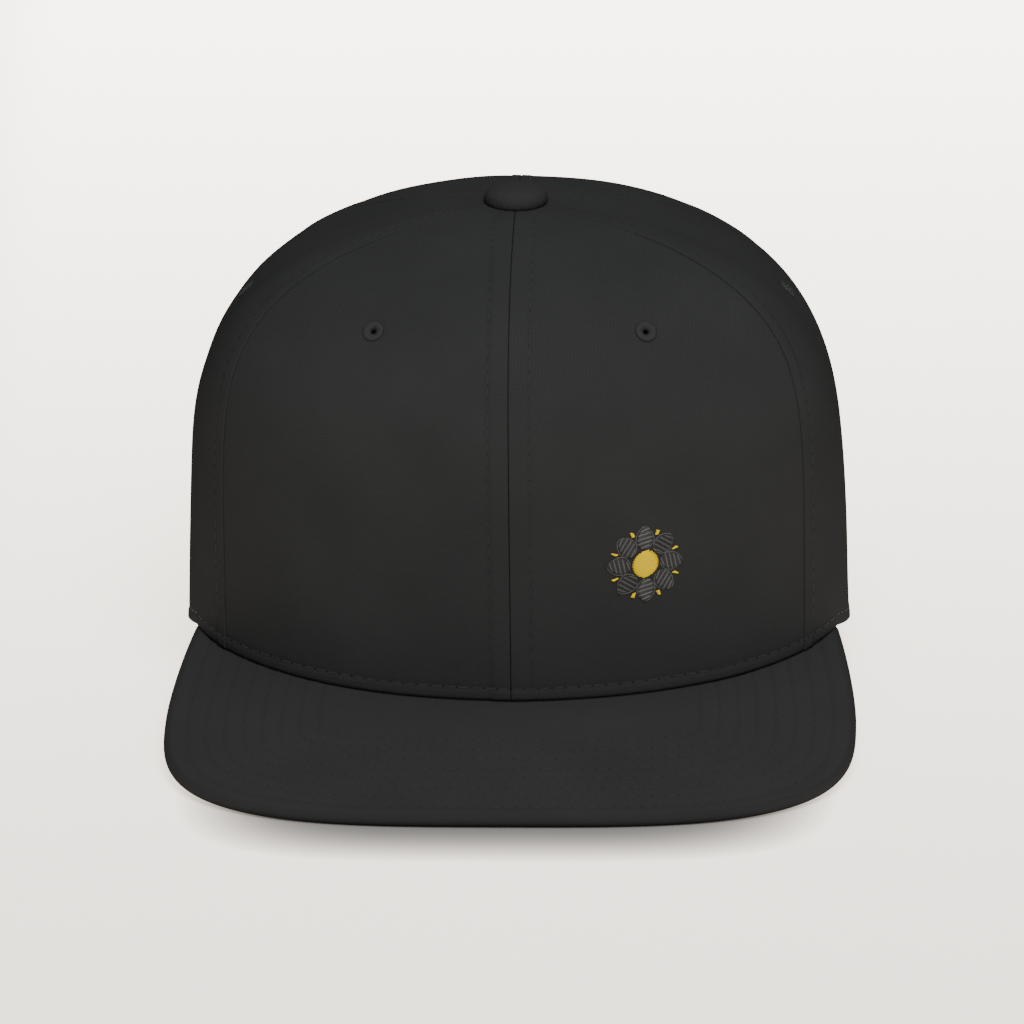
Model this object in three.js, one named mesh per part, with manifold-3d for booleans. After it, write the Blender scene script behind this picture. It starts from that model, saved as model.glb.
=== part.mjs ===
import * as THREE from 'three';
import { mergeVertices } from 'three/addons/utils/BufferGeometryUtils.js';
import Module from 'manifold-3d';

// A six-panel cap with a flat visor, in millimetres, standing on a floor at z = 0.
// The visor points along -Y and the crown's opening for the strap along +Y.

// Crown: seen from above its rim is a half ellipse in front of the widest line and a fuller half behind it.
const CROWN_WIDTH = 183;
const CROWN_FRONT = 75; // from the button's axis to the front of the rim
const CROWN_BACK = 107; // from the button's axis to the back of the rim
const WIDEST_AHEAD = 14; // the widest line lies this far ahead of the button's axis
const BACK_FULLNESS = 2.2; // 2 is an ellipse, more is squarer
const CROWN_TOP = 130; // height of the top of the crown above the floor
const WALL = 2;
const GAP = 0.3;
const GORE_FLAT = 1.3; // how far the middle of a panel lies inside the rounded form
const TOP_HOLE_RADIUS = 3.4;

// The side profile at an angle round the crown, counted from the front: the higher the power, the squarer.
const PROFILE = [
  { angle: 0, power: 6.5 },
  { angle: 60, power: 6.6 },
  { angle: 90, power: 5.1 },
  { angle: 180, power: 3.4 },
];
const PANEL_ANGLE = 60;

// Visor
const VISOR_WIDTH = 187;
const VISOR_LENGTH = 63; // along its slope, from the crown to the front edge
const VISOR_SLOPE = 8.3; // degrees down to the front
const VISOR_BOW = 1.6; // how far its tips lie under the slope of its middle line
const VISOR_THICKNESS = 2.8;
const VISOR_WIDEST_AHEAD = 80; // its widest line lies this far ahead of the button's axis
const VISOR_SQUARENESS = 3.1; // of the front outline, 2 is an ellipse
const VISOR_TIP_ANGLE = 74.5; // where the tips end, round the crown
const VISOR_TIP_OUT = 0.5; // how far the ends stand out from the crown

// Rim behind the visor: it comes down from the tips and lies on the floor at the back.
const RIM_TURN_ANGLE = 75;
const RIM_LANDS_BEHIND = 60; // behind the button's axis
const RIM_SAG = 1.25;

// Rear opening and strap
const OPENING_WIDTH = 80;
const OPENING_HEIGHT = 50;
const STRAP_TALL = 20;
const STRAP_THICK = 1.6;
const STRAP_LIFT = 1;
const STRAP_TUCK = 13; // hidden behind the panel at each end
const STRAP_OVERLAP = 50; // width of the doubled middle
const STUD_COUNT = 5;
const STUD_PITCH = 9;
const STUD_RADIUS = 2.5;
const STUD_HEIGHT = 1;

// Sweatband
const BAND_THICK = 1.5;
const BAND_SHARE = 0.24; // its height as a share of the crown's
const BAND_LIFT_SHARE = 0.005;
const BAND_SHORT = 16; // it ends this far short of the opening

// Button
const BUTTON_RADIUS = 8.8;
const BUTTON_HEIGHT = 4.6;
const BUTTON_EDGE = 1.4;
const BUTTON_NECK_RADIUS = 2.8;
const BUTTON_BACK_RADIUS = 5;
const BUTTON_BACK_THICK = 1;

// Eyelets, one to a panel
const EYELETS = [
  { panel: 'front', angle: 29.5, height: 0.84 },
  { panel: 'side', angle: 93, height: 0.8 },
  { panel: 'back', angle: 150, height: 0.78 },
];
const EYELET_RADIUS = 3.9;
const EYELET_HOLE_RADIUS = 1.2;
const EYELET_RISE = 0.6;
const EYELET_SEAT_RADIUS = 2.5; // of the hole in the panel

// Mesh steps
const PANEL_COLUMNS = 12;
const PANEL_ROWS = 13;
const ARCH_ROWS = 7;
const VISOR_COLUMNS = 40;
const VISOR_ROWS = 4;
const BAND_COLUMNS = 52;
const STRAP_COLUMNS = 16;
const PATCH_COLUMNS = 15;
const ROUND_SIDES = 24;
const SMALL_ROUND_SIDES = 14;

const rad = THREE.MathUtils.degToRad;
const slope = Math.tan(rad(VISOR_SLOPE));
const visorReach = VISOR_LENGTH * Math.cos(rad(VISOR_SLOPE));
// The origin is under the middle of the whole cap.
const BUTTON_Y = (visorReach + CROWN_FRONT - CROWN_BACK) / 2;
const halfWidth = CROWN_WIDTH / 2;
const frontReach = CROWN_FRONT - WIDEST_AHEAD;
const backReach = CROWN_BACK + WIDEST_AHEAD;

// A point of the rim's plan from the button's axis, at an angle from the front towards +X.
function rimPlan(angle) {
  const c = Math.cos(angle);
  const s = Math.sin(angle);
  if (c >= 0) return new THREE.Vector2(halfWidth * s, -WIDEST_AHEAD - frontReach * c);
  const power = 2 / BACK_FULLNESS;
  const x = halfWidth * Math.sign(s) * Math.abs(s) ** power;
  return new THREE.Vector2(x, -WIDEST_AHEAD + backReach * Math.abs(c) ** power);
}

// The same curve moved inwards (or outwards, with a negative depth).
function rimInset(angle, depth) {
  const step = 0.001;
  const along = rimPlan(angle + step).sub(rimPlan(angle - step)).normalize();
  const p = rimPlan(angle);
  return new THREE.Vector2(p.x - along.y * depth, p.y + along.x * depth);
}

function visorDrop(x, y) {
  const tipX = rimPlan(rad(VISOR_TIP_ANGLE)).x;
  return (y + CROWN_FRONT + visorReach) * slope - VISOR_BOW * (x / tipX) ** 2;
}

// The visor's outer edge from one tip (-1) round the front (0) to the other tip (1).
const VISOR_FRONT_SHARE = 0.68;
function visorEdge(share) {
  const side = Math.sign(share) || 1;
  const s = Math.abs(share);
  if (s <= VISOR_FRONT_SHARE) {
    const a = (s / VISOR_FRONT_SHARE) * (Math.PI / 2);
    const reach = CROWN_FRONT + visorReach - VISOR_WIDEST_AHEAD;
    const across = Math.abs(Math.sin(a)) / (VISOR_WIDTH / 2);
    const ahead = Math.abs(Math.cos(a)) / reach;
    const r = (across ** VISOR_SQUARENESS + ahead ** VISOR_SQUARENESS) ** (-1 / VISOR_SQUARENESS);
    return new THREE.Vector2(side * r * Math.sin(a), -VISOR_WIDEST_AHEAD - r * Math.cos(a));
  }
  const t = (s - VISOR_FRONT_SHARE) / (1 - VISOR_FRONT_SHARE);
  const tip = rimInset(rad(VISOR_TIP_ANGLE), -VISOR_TIP_OUT);
  const x = VISOR_WIDTH / 2 - (VISOR_WIDTH / 2 - tip.x) * t ** 1.6;
  return new THREE.Vector2(side * x, -VISOR_WIDEST_AHEAD + (tip.y + VISOR_WIDEST_AHEAD) * t);
}

// Steps of the rounded edge: how far in from the outline and how far from the face.
const round = VISOR_THICKNESS / 2;
const edgeTurns = [0, 40, 80].map((degrees) => ({
  inset: round * (1 - Math.sin(rad(degrees))),
  drop: round * (1 - Math.cos(rad(degrees))),
}));

// The visor's front corners touch the floor, so the lowest point of its edge sets its height.
let lowestDrop = 0;
for (let s = 0; s <= VISOR_FRONT_SHARE; s += 0.01) {
  const edge = visorEdge(s);
  for (const { inset, drop } of edgeTurns) {
    const p = edge.clone().multiplyScalar(1 - inset / edge.length());
    lowestDrop = Math.min(lowestDrop, visorDrop(p.x, p.y) + drop);
  }
}
function visorTop(x, y) {
  return VISOR_THICKNESS - lowestDrop + visorDrop(x, y);
}

function rimHeight(angle) {
  const a = Math.abs(angle);
  const turn = Math.min(a, rad(RIM_TURN_ANGLE));
  const p = rimInset(turn, WALL / 2);
  const onVisor = visorTop(p.x, p.y) + GAP;
  if (a <= rad(RIM_TURN_ANGLE)) return onVisor;
  const from = rimPlan(rad(RIM_TURN_ANGLE)).y;
  const left = (RIM_LANDS_BEHIND - rimPlan(a).y) / (RIM_LANDS_BEHIND - from);
  return onVisor * Math.max(0, left) ** RIM_SAG;
}

function profilePower(angle) {
  const degrees = Math.min(180, THREE.MathUtils.radToDeg(Math.abs(angle)));
  const i = Math.max(1, PROFILE.findIndex((row) => degrees <= row.angle));
  const low = PROFILE[i - 1];
  const high = PROFILE[i];
  const share = THREE.MathUtils.smoothstep(degrees, low.angle, high.angle);
  return low.power + (high.power - low.power) * share;
}

function crownWidthShare(angle, height) {
  return Math.sqrt(1 - Math.min(1, height) ** profilePower(angle));
}

// The outside of the crown: height runs from 0 at the rim to 1 at the top.
function crownPoint(angle, height, flat = GORE_FLAT) {
  const share = Math.abs(angle) / rad(PANEL_ANGLE);
  const acrossPanel = Math.sin(Math.PI * (share - Math.floor(share))) ** 2;
  const gore = (flat * acrossPanel * Math.sin(Math.PI * Math.min(1, height))) / halfWidth;
  const p = rimPlan(angle).multiplyScalar(crownWidthShare(angle, height) - gore);
  const rim = rimHeight(angle);
  return new THREE.Vector3(p.x, p.y + BUTTON_Y, rim + (CROWN_TOP - rim) * height);
}

function crownNormal(angle, height) {
  const step = 0.002;
  const h = Math.min(Math.max(height, step), 1 - 2 * step);
  const around = crownPoint(angle + step, h, 0).sub(crownPoint(angle - step, h, 0));
  const up = crownPoint(angle, h + step, 0).sub(crownPoint(angle, h - step, 0));
  const normal = around.cross(up);
  if (height === 0) normal.z = 0;
  return normal.normalize();
}

// A point the given depth under the outside of the crown.
function crownSkin(angle, height, depth) {
  return crownPoint(angle, height).addScaledVector(crownNormal(angle, height), -depth);
}

// The angle that spans a length along the crown's outside at one place.
function angleFor(length, angle, height) {
  const step = 0.002;
  const span = crownPoint(angle + step, height, 0).distanceTo(crownPoint(angle - step, height, 0));
  return (length * 2 * step) / span;
}

function topHeight(angle) {
  const share = TOP_HOLE_RADIUS / rimPlan(angle).length();
  return (1 - share * share) ** (1 / profilePower(angle));
}

// A closed solid between two grids of points, joined along their four borders.
function shell(columns, rows, outside, inside) {
  const positions = [];
  const grid = [outside, inside].map((skin) => {
    const ids = [];
    for (let i = 0; i <= columns; i++) {
      ids.push([]);
      for (let j = 0; j <= rows; j++) {
        ids[i].push(positions.length / 3);
        positions.push(...skin(i, j).toArray());
      }
    }
    return ids;
  });
  const [a, b] = grid;
  const index = [];
  const quad = (p, q, r, s) => index.push(p, q, r, p, r, s);
  for (let i = 0; i < columns; i++) {
    for (let j = 0; j < rows; j++) {
      quad(a[i][j], a[i + 1][j], a[i + 1][j + 1], a[i][j + 1]);
      quad(b[i][j], b[i][j + 1], b[i + 1][j + 1], b[i + 1][j]);
    }
    quad(a[i][0], b[i][0], b[i + 1][0], a[i + 1][0]);
    quad(a[i][rows], a[i + 1][rows], b[i + 1][rows], b[i][rows]);
  }
  for (let j = 0; j < rows; j++) {
    quad(a[0][j], a[0][j + 1], b[0][j + 1], b[0][j]);
    quad(a[columns][j], b[columns][j], b[columns][j + 1], a[columns][j + 1]);
  }
  const geometry = new THREE.BufferGeometry();
  geometry.setAttribute('position', new THREE.Float32BufferAttribute(positions, 3));
  geometry.setIndex(index);
  return facingOut(geometry);
}

function facingOut(geometry) {
  const p = geometry.attributes.position;
  const index = geometry.index.array;
  const corner = (k) => new THREE.Vector3().fromBufferAttribute(p, index[k]);
  let volume = 0;
  for (let k = 0; k < index.length; k += 3) {
    volume += corner(k).dot(corner(k + 1).cross(corner(k + 2)));
  }
  if (volume < 0) {
    for (let k = 0; k < index.length; k += 3) {
      [index[k + 1], index[k + 2]] = [index[k + 2], index[k + 1]];
    }
  }
  return geometry;
}

const wasm = await Module();
wasm.setup();

function solid(geometry) {
  const bare = geometry.clone();
  bare.deleteAttribute('normal');
  bare.deleteAttribute('uv');
  const merged = mergeVertices(bare, 1e-3);
  return new wasm.Manifold(
    new wasm.Mesh({
      numProp: 3,
      vertProperties: merged.attributes.position.array,
      triVerts: new Uint32Array(merged.index.array),
    }),
  );
}

function geometryOf(body) {
  const mesh = body.simplify(0.01).getMesh();
  const geometry = new THREE.BufferGeometry();
  geometry.setAttribute('position', new THREE.Float32BufferAttribute(mesh.vertProperties, 3));
  geometry.setIndex(Array.from(mesh.triVerts));
  return geometry;
}

// Turns a shape made along +Y so that it stands on the crown, along the outward normal.
function standOnCrown(geometry, angle, height) {
  const turn = new THREE.Quaternion().setFromUnitVectors(
    new THREE.Vector3(0, 1, 0),
    crownNormal(angle, height),
  );
  const place = crownPoint(angle, height);
  geometry.applyMatrix4(new THREE.Matrix4().compose(place, turn, new THREE.Vector3(1, 1, 1)));
  return geometry;
}

function lathe(profile, sides) {
  const points = profile.map(([r, y]) => new THREE.Vector2(r, y));
  return new THREE.LatheGeometry(points, sides);
}

const twill = { color: 0x2c2c2d, roughness: 0.92, metalness: 0 };
const group = new THREE.Group();

function add(name, geometry, look = twill) {
  geometry.computeVertexNormals();
  const mesh = new THREE.Mesh(geometry, new THREE.MeshStandardMaterial(look));
  mesh.name = name;
  group.add(mesh);
}

// Rows of a panel: close together over the shoulder and the top, where the crown bends.
const evenRows = [];
for (let j = 0; j <= PANEL_ROWS; j++) {
  const s = j / PANEL_ROWS;
  evenRows.push(s * (2 - s));
}
const archTop = OPENING_HEIGHT / CROWN_TOP;
const archRows = [];
for (let j = 0; j < ARCH_ROWS; j++) {
  archRows.push(archTop * Math.sin((Math.PI / 2) * (j / ARCH_ROWS)));
}
const archStart = 1 - Math.sqrt(1 - archTop);
const rowsAboveArch = PANEL_ROWS - 3;
for (let j = 0; j <= rowsAboveArch; j++) {
  const s = archStart + (1 - archStart) * (j / rowsAboveArch);
  archRows.push(s * (2 - s));
}

// Where the arch of the rear opening cuts a row of a back panel.
function archAngle(height) {
  if (height >= archTop) return Math.PI;
  const across = (OPENING_WIDTH / 2) * Math.sqrt(1 - (height / archTop) ** 2);
  const share = across / (halfWidth * crownWidthShare(Math.PI, height));
  return Math.PI - Math.asin(share ** (BACK_FULLNESS / 2));
}

function panel(from, to, rows, side, edge = () => Math.PI) {
  const at = (i, j) => {
    const rough = Math.min(rows[j], 0.995);
    const start = from + (from > 0 || to < Math.PI ? angleFor(GAP / 2, from + 0.01, rough) : 0);
    const seam = to - angleFor(GAP / 2, to - 0.01, rough);
    const end = Math.min(seam, edge(rows[j]));
    const angle = start + (end - start) * (i / PANEL_COLUMNS);
    return { angle: angle * side, height: rows[j] * topHeight(angle) };
  };
  const skin = (depth) => (i, j) => {
    const { angle, height } = at(i, j);
    return crownSkin(angle, height, depth);
  };
  return shell(PANEL_COLUMNS, rows.length - 1, skin(0), skin(WALL));
}

const step = rad(PANEL_ANGLE);
const PANELS = [
  { panel: 'front', from: 0, to: step, rows: evenRows },
  { panel: 'side', from: step, to: 2 * step, rows: evenRows },
  { panel: 'back', from: 2 * step, to: 3 * step, rows: archRows, edge: archAngle },
];

const seatDrill = lathe(
  [[0, -6], [EYELET_SEAT_RADIUS, -6], [EYELET_SEAT_RADIUS, 6], [0, 6]],
  SMALL_ROUND_SIDES,
);

// A sewn ring: a rounded flange on the cloth and a barrel through it.
const barrel = EYELET_SEAT_RADIUS - GAP;
const eyeletProfile = [
  [EYELET_HOLE_RADIUS, -WALL],
  [barrel, -WALL],
  [barrel, GAP],
  [EYELET_RADIUS - 0.3, GAP],
  [EYELET_RADIUS, GAP + EYELET_RISE * 0.35],
  [EYELET_RADIUS - 0.7, GAP + EYELET_RISE],
  [EYELET_HOLE_RADIUS + 0.6, GAP + EYELET_RISE],
  [EYELET_HOLE_RADIUS, GAP + EYELET_RISE * 0.4],
  [EYELET_HOLE_RADIUS, -WALL],
];

for (const [side, name] of [[-1, 'left'], [1, 'right']]) {
  for (const { panel: place, from, to, rows, edge } of PANELS) {
    const eyelet = EYELETS.find((row) => row.panel === place);
    const angle = rad(eyelet.angle) * side;
    const drill = standOnCrown(seatDrill.clone(), angle, eyelet.height);
    const cloth = solid(panel(from, to, rows, side, edge)).subtract(solid(drill));
    add(`panel_${place}_${name}`, geometryOf(cloth));
    const ring = lathe(eyeletProfile, SMALL_ROUND_SIDES);
    add(`eyelet_${place}_${name}`, standOnCrown(ring, angle, eyelet.height), {
      color: 0x2e2e2e,
      roughness: 0.85,
      metalness: 0,
    });
  }
}

// Visor: its inner edge lies under the crown's front rim, its outer edge is rounded.
function visorSkin(side) {
  return (i, j) => {
    const share = (2 * i) / VISOR_COLUMNS - 1;
    const inner = rimInset(share * rad(VISOR_TIP_ANGLE), WALL);
    const outer = visorEdge(share);
    const width = inner.distanceTo(outer);
    const turn = edgeTurns[Math.max(0, j - VISOR_ROWS)];
    const along = j < VISOR_ROWS ? (j / VISOR_ROWS) * (1 - round / width) : 1 - turn.inset / width;
    const drop = j < VISOR_ROWS ? 0 : turn.drop;
    const p = inner.clone().lerp(outer, along);
    const z = visorTop(p.x, p.y) - VISOR_THICKNESS / 2 + side * (VISOR_THICKNESS / 2 - drop);
    return new THREE.Vector3(p.x, p.y + BUTTON_Y, z);
  };
}
const visorRows = VISOR_ROWS + edgeTurns.length - 1;
add('visor', shell(VISOR_COLUMNS, visorRows, visorSkin(1), visorSkin(-1)));

// Sweatband: an open ring inside the rim, short of the rear opening at both ends.
const openingAngle = archAngle(0);
const bandEnd = openingAngle - angleFor(BAND_SHORT, openingAngle, 0);
const bandSkin = (depth) => (i, j) => {
  const angle = bandEnd * ((2 * i) / BAND_COLUMNS - 1);
  return crownSkin(angle, BAND_LIFT_SHARE + (BAND_SHARE - BAND_LIFT_SHARE) * (j / 2), depth);
};
const bandDepth = WALL + GAP;
add('sweatband', shell(BAND_COLUMNS, 2, bandSkin(bandDepth), bandSkin(bandDepth + BAND_THICK)), {
  color: 0x262627,
  roughness: 0.9,
  metalness: 0,
});

// Strap: two overlapped bands snapped together, kept as one piece, with its ends behind the panels.
function strapBand(columns, halfLength, bottom, top, shallow, deep) {
  const half = angleFor(halfLength, Math.PI - 0.02, 0);
  const skin = (depth) => (i, j) => {
    const angle = Math.PI + half * ((2 * i) / columns - 1);
    return crownSkin(angle, (bottom + (top - bottom) * j) / CROWN_TOP, depth);
  };
  return shell(columns, 1, skin(shallow), skin(deep));
}
const strapTop = STRAP_LIFT + STRAP_TALL;
const halfStrap = OPENING_WIDTH / 2 + STRAP_TUCK;
const strapBack = bandDepth + STRAP_THICK;
let strap = solid(strapBand(STRAP_COLUMNS, halfStrap, STRAP_LIFT, strapTop, bandDepth, strapBack));
// The doubled middle has an odd number of columns, so that no joint of its facets meets a stud's corner.
const patchDepth = bandDepth - STRAP_THICK;
const patchHalf = STRAP_OVERLAP / 2;
const patchLow = STRAP_LIFT + 0.4;
const patchHigh = strapTop - 0.4;
strap = strap.add(
  solid(strapBand(PATCH_COLUMNS, patchHalf, patchLow, patchHigh, patchDepth, bandDepth + 0.4)),
);
const stud = lathe(
  [
    [0, -patchDepth - 1],
    [STUD_RADIUS, -patchDepth - 1],
    [STUD_RADIUS, STUD_HEIGHT * 0.5 - patchDepth],
    [STUD_RADIUS * 0.7, STUD_HEIGHT - patchDepth],
    [0, STUD_HEIGHT - patchDepth],
  ],
  SMALL_ROUND_SIDES,
);
for (let k = 0; k < STUD_COUNT; k++) {
  const along = (k - (STUD_COUNT - 1) / 2) * STUD_PITCH;
  const angle = Math.PI + angleFor(along, Math.PI - 0.02, 0);
  const height = (STRAP_LIFT + STRAP_TALL / 2) / CROWN_TOP;
  strap = strap.add(solid(standOnCrown(stud.clone(), angle, height)));
}
add('snap_strap', geometryOf(strap), { color: 0x1d1d1e, roughness: 0.45, metalness: 0 });

// Button: a covered dome, its neck through the hole at the top and a flat washer inside the crown.
const underDome = GAP;
const backTop = -WALL - 2 * GAP;
const domeProfile = [
  [0, backTop - BUTTON_BACK_THICK],
  [BUTTON_BACK_RADIUS, backTop - BUTTON_BACK_THICK],
  [BUTTON_BACK_RADIUS, backTop],
  [BUTTON_NECK_RADIUS, backTop],
  [BUTTON_NECK_RADIUS, underDome],
  [BUTTON_RADIUS - 0.6, underDome],
  [BUTTON_RADIUS, underDome + 0.6],
  [BUTTON_RADIUS, underDome + BUTTON_EDGE],
];
const crownRise = BUTTON_HEIGHT - BUTTON_EDGE;
for (const degrees of [25, 45, 65]) {
  const a = rad(degrees);
  domeProfile.push([BUTTON_RADIUS * Math.cos(a), underDome + BUTTON_EDGE + crownRise * Math.sin(a)]);
}
domeProfile.push([0, underDome + BUTTON_HEIGHT]);
const button = lathe(domeProfile, ROUND_SIDES);
button.rotateX(Math.PI / 2);
button.translate(0, BUTTON_Y, CROWN_TOP);
add('button', button);

export default group;
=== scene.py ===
# %% [markdown]
# # A six-panel cap with a flat visor
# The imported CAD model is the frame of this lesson: it says how large the cap is and where each piece sits.
# Around it we sew the real thing: blocked cloth panels, rolled seams, rows of stitches, a covered visor,
# a button, six sewn eyelets, a sweatband and a snap strap. All lengths are in metres.

# %% Load the frame
import math

import bpy
import numpy as np
from mathutils import Matrix, Vector


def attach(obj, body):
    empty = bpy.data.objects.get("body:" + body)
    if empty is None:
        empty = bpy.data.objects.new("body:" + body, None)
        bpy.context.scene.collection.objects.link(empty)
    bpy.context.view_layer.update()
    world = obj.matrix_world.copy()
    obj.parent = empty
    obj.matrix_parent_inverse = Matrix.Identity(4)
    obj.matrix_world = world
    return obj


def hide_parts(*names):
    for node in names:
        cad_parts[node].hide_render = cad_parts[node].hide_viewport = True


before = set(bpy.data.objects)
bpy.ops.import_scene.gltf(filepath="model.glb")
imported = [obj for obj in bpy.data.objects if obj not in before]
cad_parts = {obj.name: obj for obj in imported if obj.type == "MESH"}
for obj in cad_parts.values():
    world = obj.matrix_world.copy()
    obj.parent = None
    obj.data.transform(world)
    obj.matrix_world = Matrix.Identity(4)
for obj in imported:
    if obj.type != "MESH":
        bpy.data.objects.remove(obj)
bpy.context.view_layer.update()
MM = 0.001

# %% [markdown]
# ## Camera
# The photograph was taken with a long lens from a little above the cap, so the cap is seen almost
# without perspective. The camera stands 2.6 m away, and its lens is long enough to fill the frame.

# %% Camera
CAMERA_TURN = math.radians(2.34)
CAMERA_RISE = math.radians(20.02)
CAMERA_ROLL = math.radians(-0.71)
CAMERA_AWAY = 2.6
LOOK_AT = Vector((-0.00155, 0, 0.04483))

back = Vector((
    math.sin(CAMERA_TURN) * math.cos(CAMERA_RISE),
    -math.cos(CAMERA_TURN) * math.cos(CAMERA_RISE),
    math.sin(CAMERA_RISE),
))
level = Vector((math.cos(CAMERA_TURN), math.sin(CAMERA_TURN), 0))
up = back.cross(level)
right = level * math.cos(CAMERA_ROLL) + up * math.sin(CAMERA_ROLL)
up = up * math.cos(CAMERA_ROLL) - level * math.sin(CAMERA_ROLL)

bpy.ops.object.camera_add(location=LOOK_AT + back * CAMERA_AWAY)
camera = bpy.context.object
camera.rotation_euler = Matrix((right, up, back)).transposed().to_euler()
camera.data.lens = 331.6
camera.data.sensor_width = 36
bpy.context.scene.camera = camera
print("Camera at", [round(x, 3) for x in camera.location])

# %% [markdown]
# ## Shader maths as sentences
# A material is a graph of nodes. Wiring each Math node by hand hides the idea, so a small class stands
# for a socket and turns +, -, * and / into nodes. A second class holds one finish and makes any node.

# %% Wire and Finish
class Wire:
    """A socket that can be written in a sum, such as 1 - mask * 0.4."""

    def __init__(self, finish, socket):
        self.finish = finish
        self.socket = socket

    def math(self, operation, other=None, turned=False):
        pair = [self] if other is None else [self, other]
        if turned:
            pair.reverse()
        return self.finish.node("ShaderNodeMath", {"operation": operation}, dict(enumerate(pair)))

    def __add__(self, other):
        return self.math("ADD", other)

    def __sub__(self, other):
        return self.math("SUBTRACT", other)

    def __rsub__(self, other):
        return self.math("SUBTRACT", other, turned=True)

    def __mul__(self, other):
        return self.math("MULTIPLY", other)

    def __truediv__(self, other):
        return self.math("DIVIDE", other)

    __radd__ = __add__
    __rmul__ = __mul__

    def wave(self, turns=1.0):
        """Rises and falls between 0 and 1, once for each turn."""
        return (self * (2 * math.pi * turns)).math("SINE") * 0.5 + 0.5


class Finish:
    """One material. Its constants are set on the shader's own sockets."""

    def __init__(self, name, **constants):
        self.material = bpy.data.materials.new(name)
        self.material.use_nodes = True
        self.tree = self.material.node_tree
        self.shader = self.tree.nodes["Principled BSDF"]
        for label, value in constants.items():
            self.shader.inputs[label.replace("_", " ")].default_value = value

    def node(self, kind, settings=None, inputs=None, output=0):
        made = self.tree.nodes.new(kind)
        for name, value in (settings or {}).items():
            setattr(made, name, value)
        for label, value in (inputs or {}).items():
            if isinstance(value, Wire):
                self.tree.links.new(value.socket, made.inputs[label])
            else:
                made.inputs[label].default_value = value
        return Wire(self, made.outputs[output])

    def feed(self, label, wire):
        self.tree.links.new(wire.socket, self.shader.inputs[label])

    def split(self, vector):
        """The three numbers of a vector, each as a wire of its own."""
        splitter = self.node("ShaderNodeSeparateXYZ", {}, {0: vector}).socket.node
        return [Wire(self, number) for number in splitter.outputs]

    def place(self):
        return self.node("ShaderNodeTexCoord", output="Object")

    def kept(self, name):
        """The three numbers that a piece keeps for each point under a name."""
        return self.split(self.node("ShaderNodeAttribute", {"attribute_name": name}, output="Vector"))

    def ramp(self, value, start, end, low=0.0, high=1.0, eased=False):
        """Rises from low to high while the value goes from start to end, and stays there past them."""
        shape = {"interpolation_type": "SMOOTHSTEP" if eased else "LINEAR"}
        return self.node("ShaderNodeMapRange", shape, {0: value, 1: start, 2: end, 3: low, 4: high})

    def noise(self, scale, detail=2.0, vector=None):
        inputs = {"Vector": vector or self.place(), "Scale": scale, "Detail": detail}
        return self.node("ShaderNodeTexNoise", {}, inputs, "Fac")

    def blend(self, share, first, second):
        """One colour turning into another. The Mix node's colour sockets are its sixth and seventh."""
        inputs = {0: share, 6: first, 7: second}
        return self.node("ShaderNodeMix", {"data_type": "RGBA"}, inputs, 2)

    def carve(self, height, strength, depth):
        bump = {"Height": height, "Strength": strength, "Distance": depth}
        self.feed("Normal", self.node("ShaderNodeBump", {}, bump))


def grey(value, warmth=0.0):
    """A nearly neutral colour: value is its brightness, a little warmth turns it from blue to yellow."""
    return (value * (1 + warmth), value, value * (1 - warmth), 1)

# %% [markdown]
# ## Floor and light
# The cap stands on a plain pale floor that runs far behind it, so no horizon shows. In a studio such
# a floor is lit by its own lamps and is brightest far back, so ours glows a little. The shade under the
# cap is short and soft, and a painted oval under the visor and one under the crown carry it. A large
# soft light stands high in front, a weak one low in front, one above and a faint one behind.

# %% Floor
SHADED = (0.17, 0.165, 0.16, 1)
PALE = (0.84, 0.80, 0.745, 1)
GLOW_NEAR = (1.42, 1.25, 1.07, 1)
GLOW_FAR = (5.9, 5.3, 4.65, 1)
DARK = (0, 0, 0, 1)


def deselect_all():
    if bpy.context.object and bpy.context.object.mode != "OBJECT":
        bpy.ops.object.mode_set(mode="OBJECT")
    bpy.ops.object.select_all(action="DESELECT")


deselect_all()
bpy.ops.mesh.primitive_plane_add(size=12, location=(0, 3, 0))
bpy.ops.object.transform_apply(location=True)
floor = bpy.context.object
floor.name = "floor"
paper = Finish("paper_floor", Roughness=0.9, Specular_IOR_Level=0.0, Emission_Strength=1.0)
sideways, depth, _ = paper.split(paper.place())
aside = sideways.math("ABSOLUTE")


def oval(centre, half_wide, half_deep, power):
    """0 in the middle of an oval on the floor, 1 on its outline."""
    across = (aside / half_wide).math("POWER", power)
    ahead = ((depth - centre).math("ABSOLUTE") / half_deep).math("POWER", power)
    return (across + ahead).math("POWER", 1 / power)


under_visor = paper.ramp(oval(-0.075, 0.0865, 0.0690, 4.0), 0.58, 1.03).math("POWER", 3.2)
under_crown = paper.ramp(oval(0.022, 0.088, 0.101, 2.2), 0.88, 1.0)
bare = under_visor.math("MINIMUM", under_crown)
paper.feed("Base Color", paper.blend(bare, SHADED, PALE))

# The glow fades beside and in front of the cap, where it would light the cloth from below.
beside_cap = paper.ramp(aside / (depth * 0.35 + 1), 0.21, 0.142, low=0.06, eased=True)
before_cap = paper.ramp(depth, -0.50, -0.27, low=0.15, eased=True)
glow = paper.blend(paper.ramp(depth, -0.3, 0.6).math("POWER", 1.6), GLOW_NEAR, GLOW_FAR)
paper.feed("Emission Color", paper.blend(bare * beside_cap * before_cap, DARK, glow))
floor.data.materials.append(paper.material)

# %% Lights
LIGHT_SIZE = 1.7
AIM = Vector((0, 0, 0.06))


def soft_light(name, place, power):
    deselect_all()
    bpy.ops.object.light_add(type="AREA", location=place)
    lamp = bpy.context.object
    lamp.name = name
    lamp.data.shape = "DISK"
    lamp.data.size = LIGHT_SIZE
    lamp.data.energy = power
    lamp.rotation_euler = (AIM - Vector(place)).to_track_quat("-Z", "Y").to_euler()
    print(name, power, "W")


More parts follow.
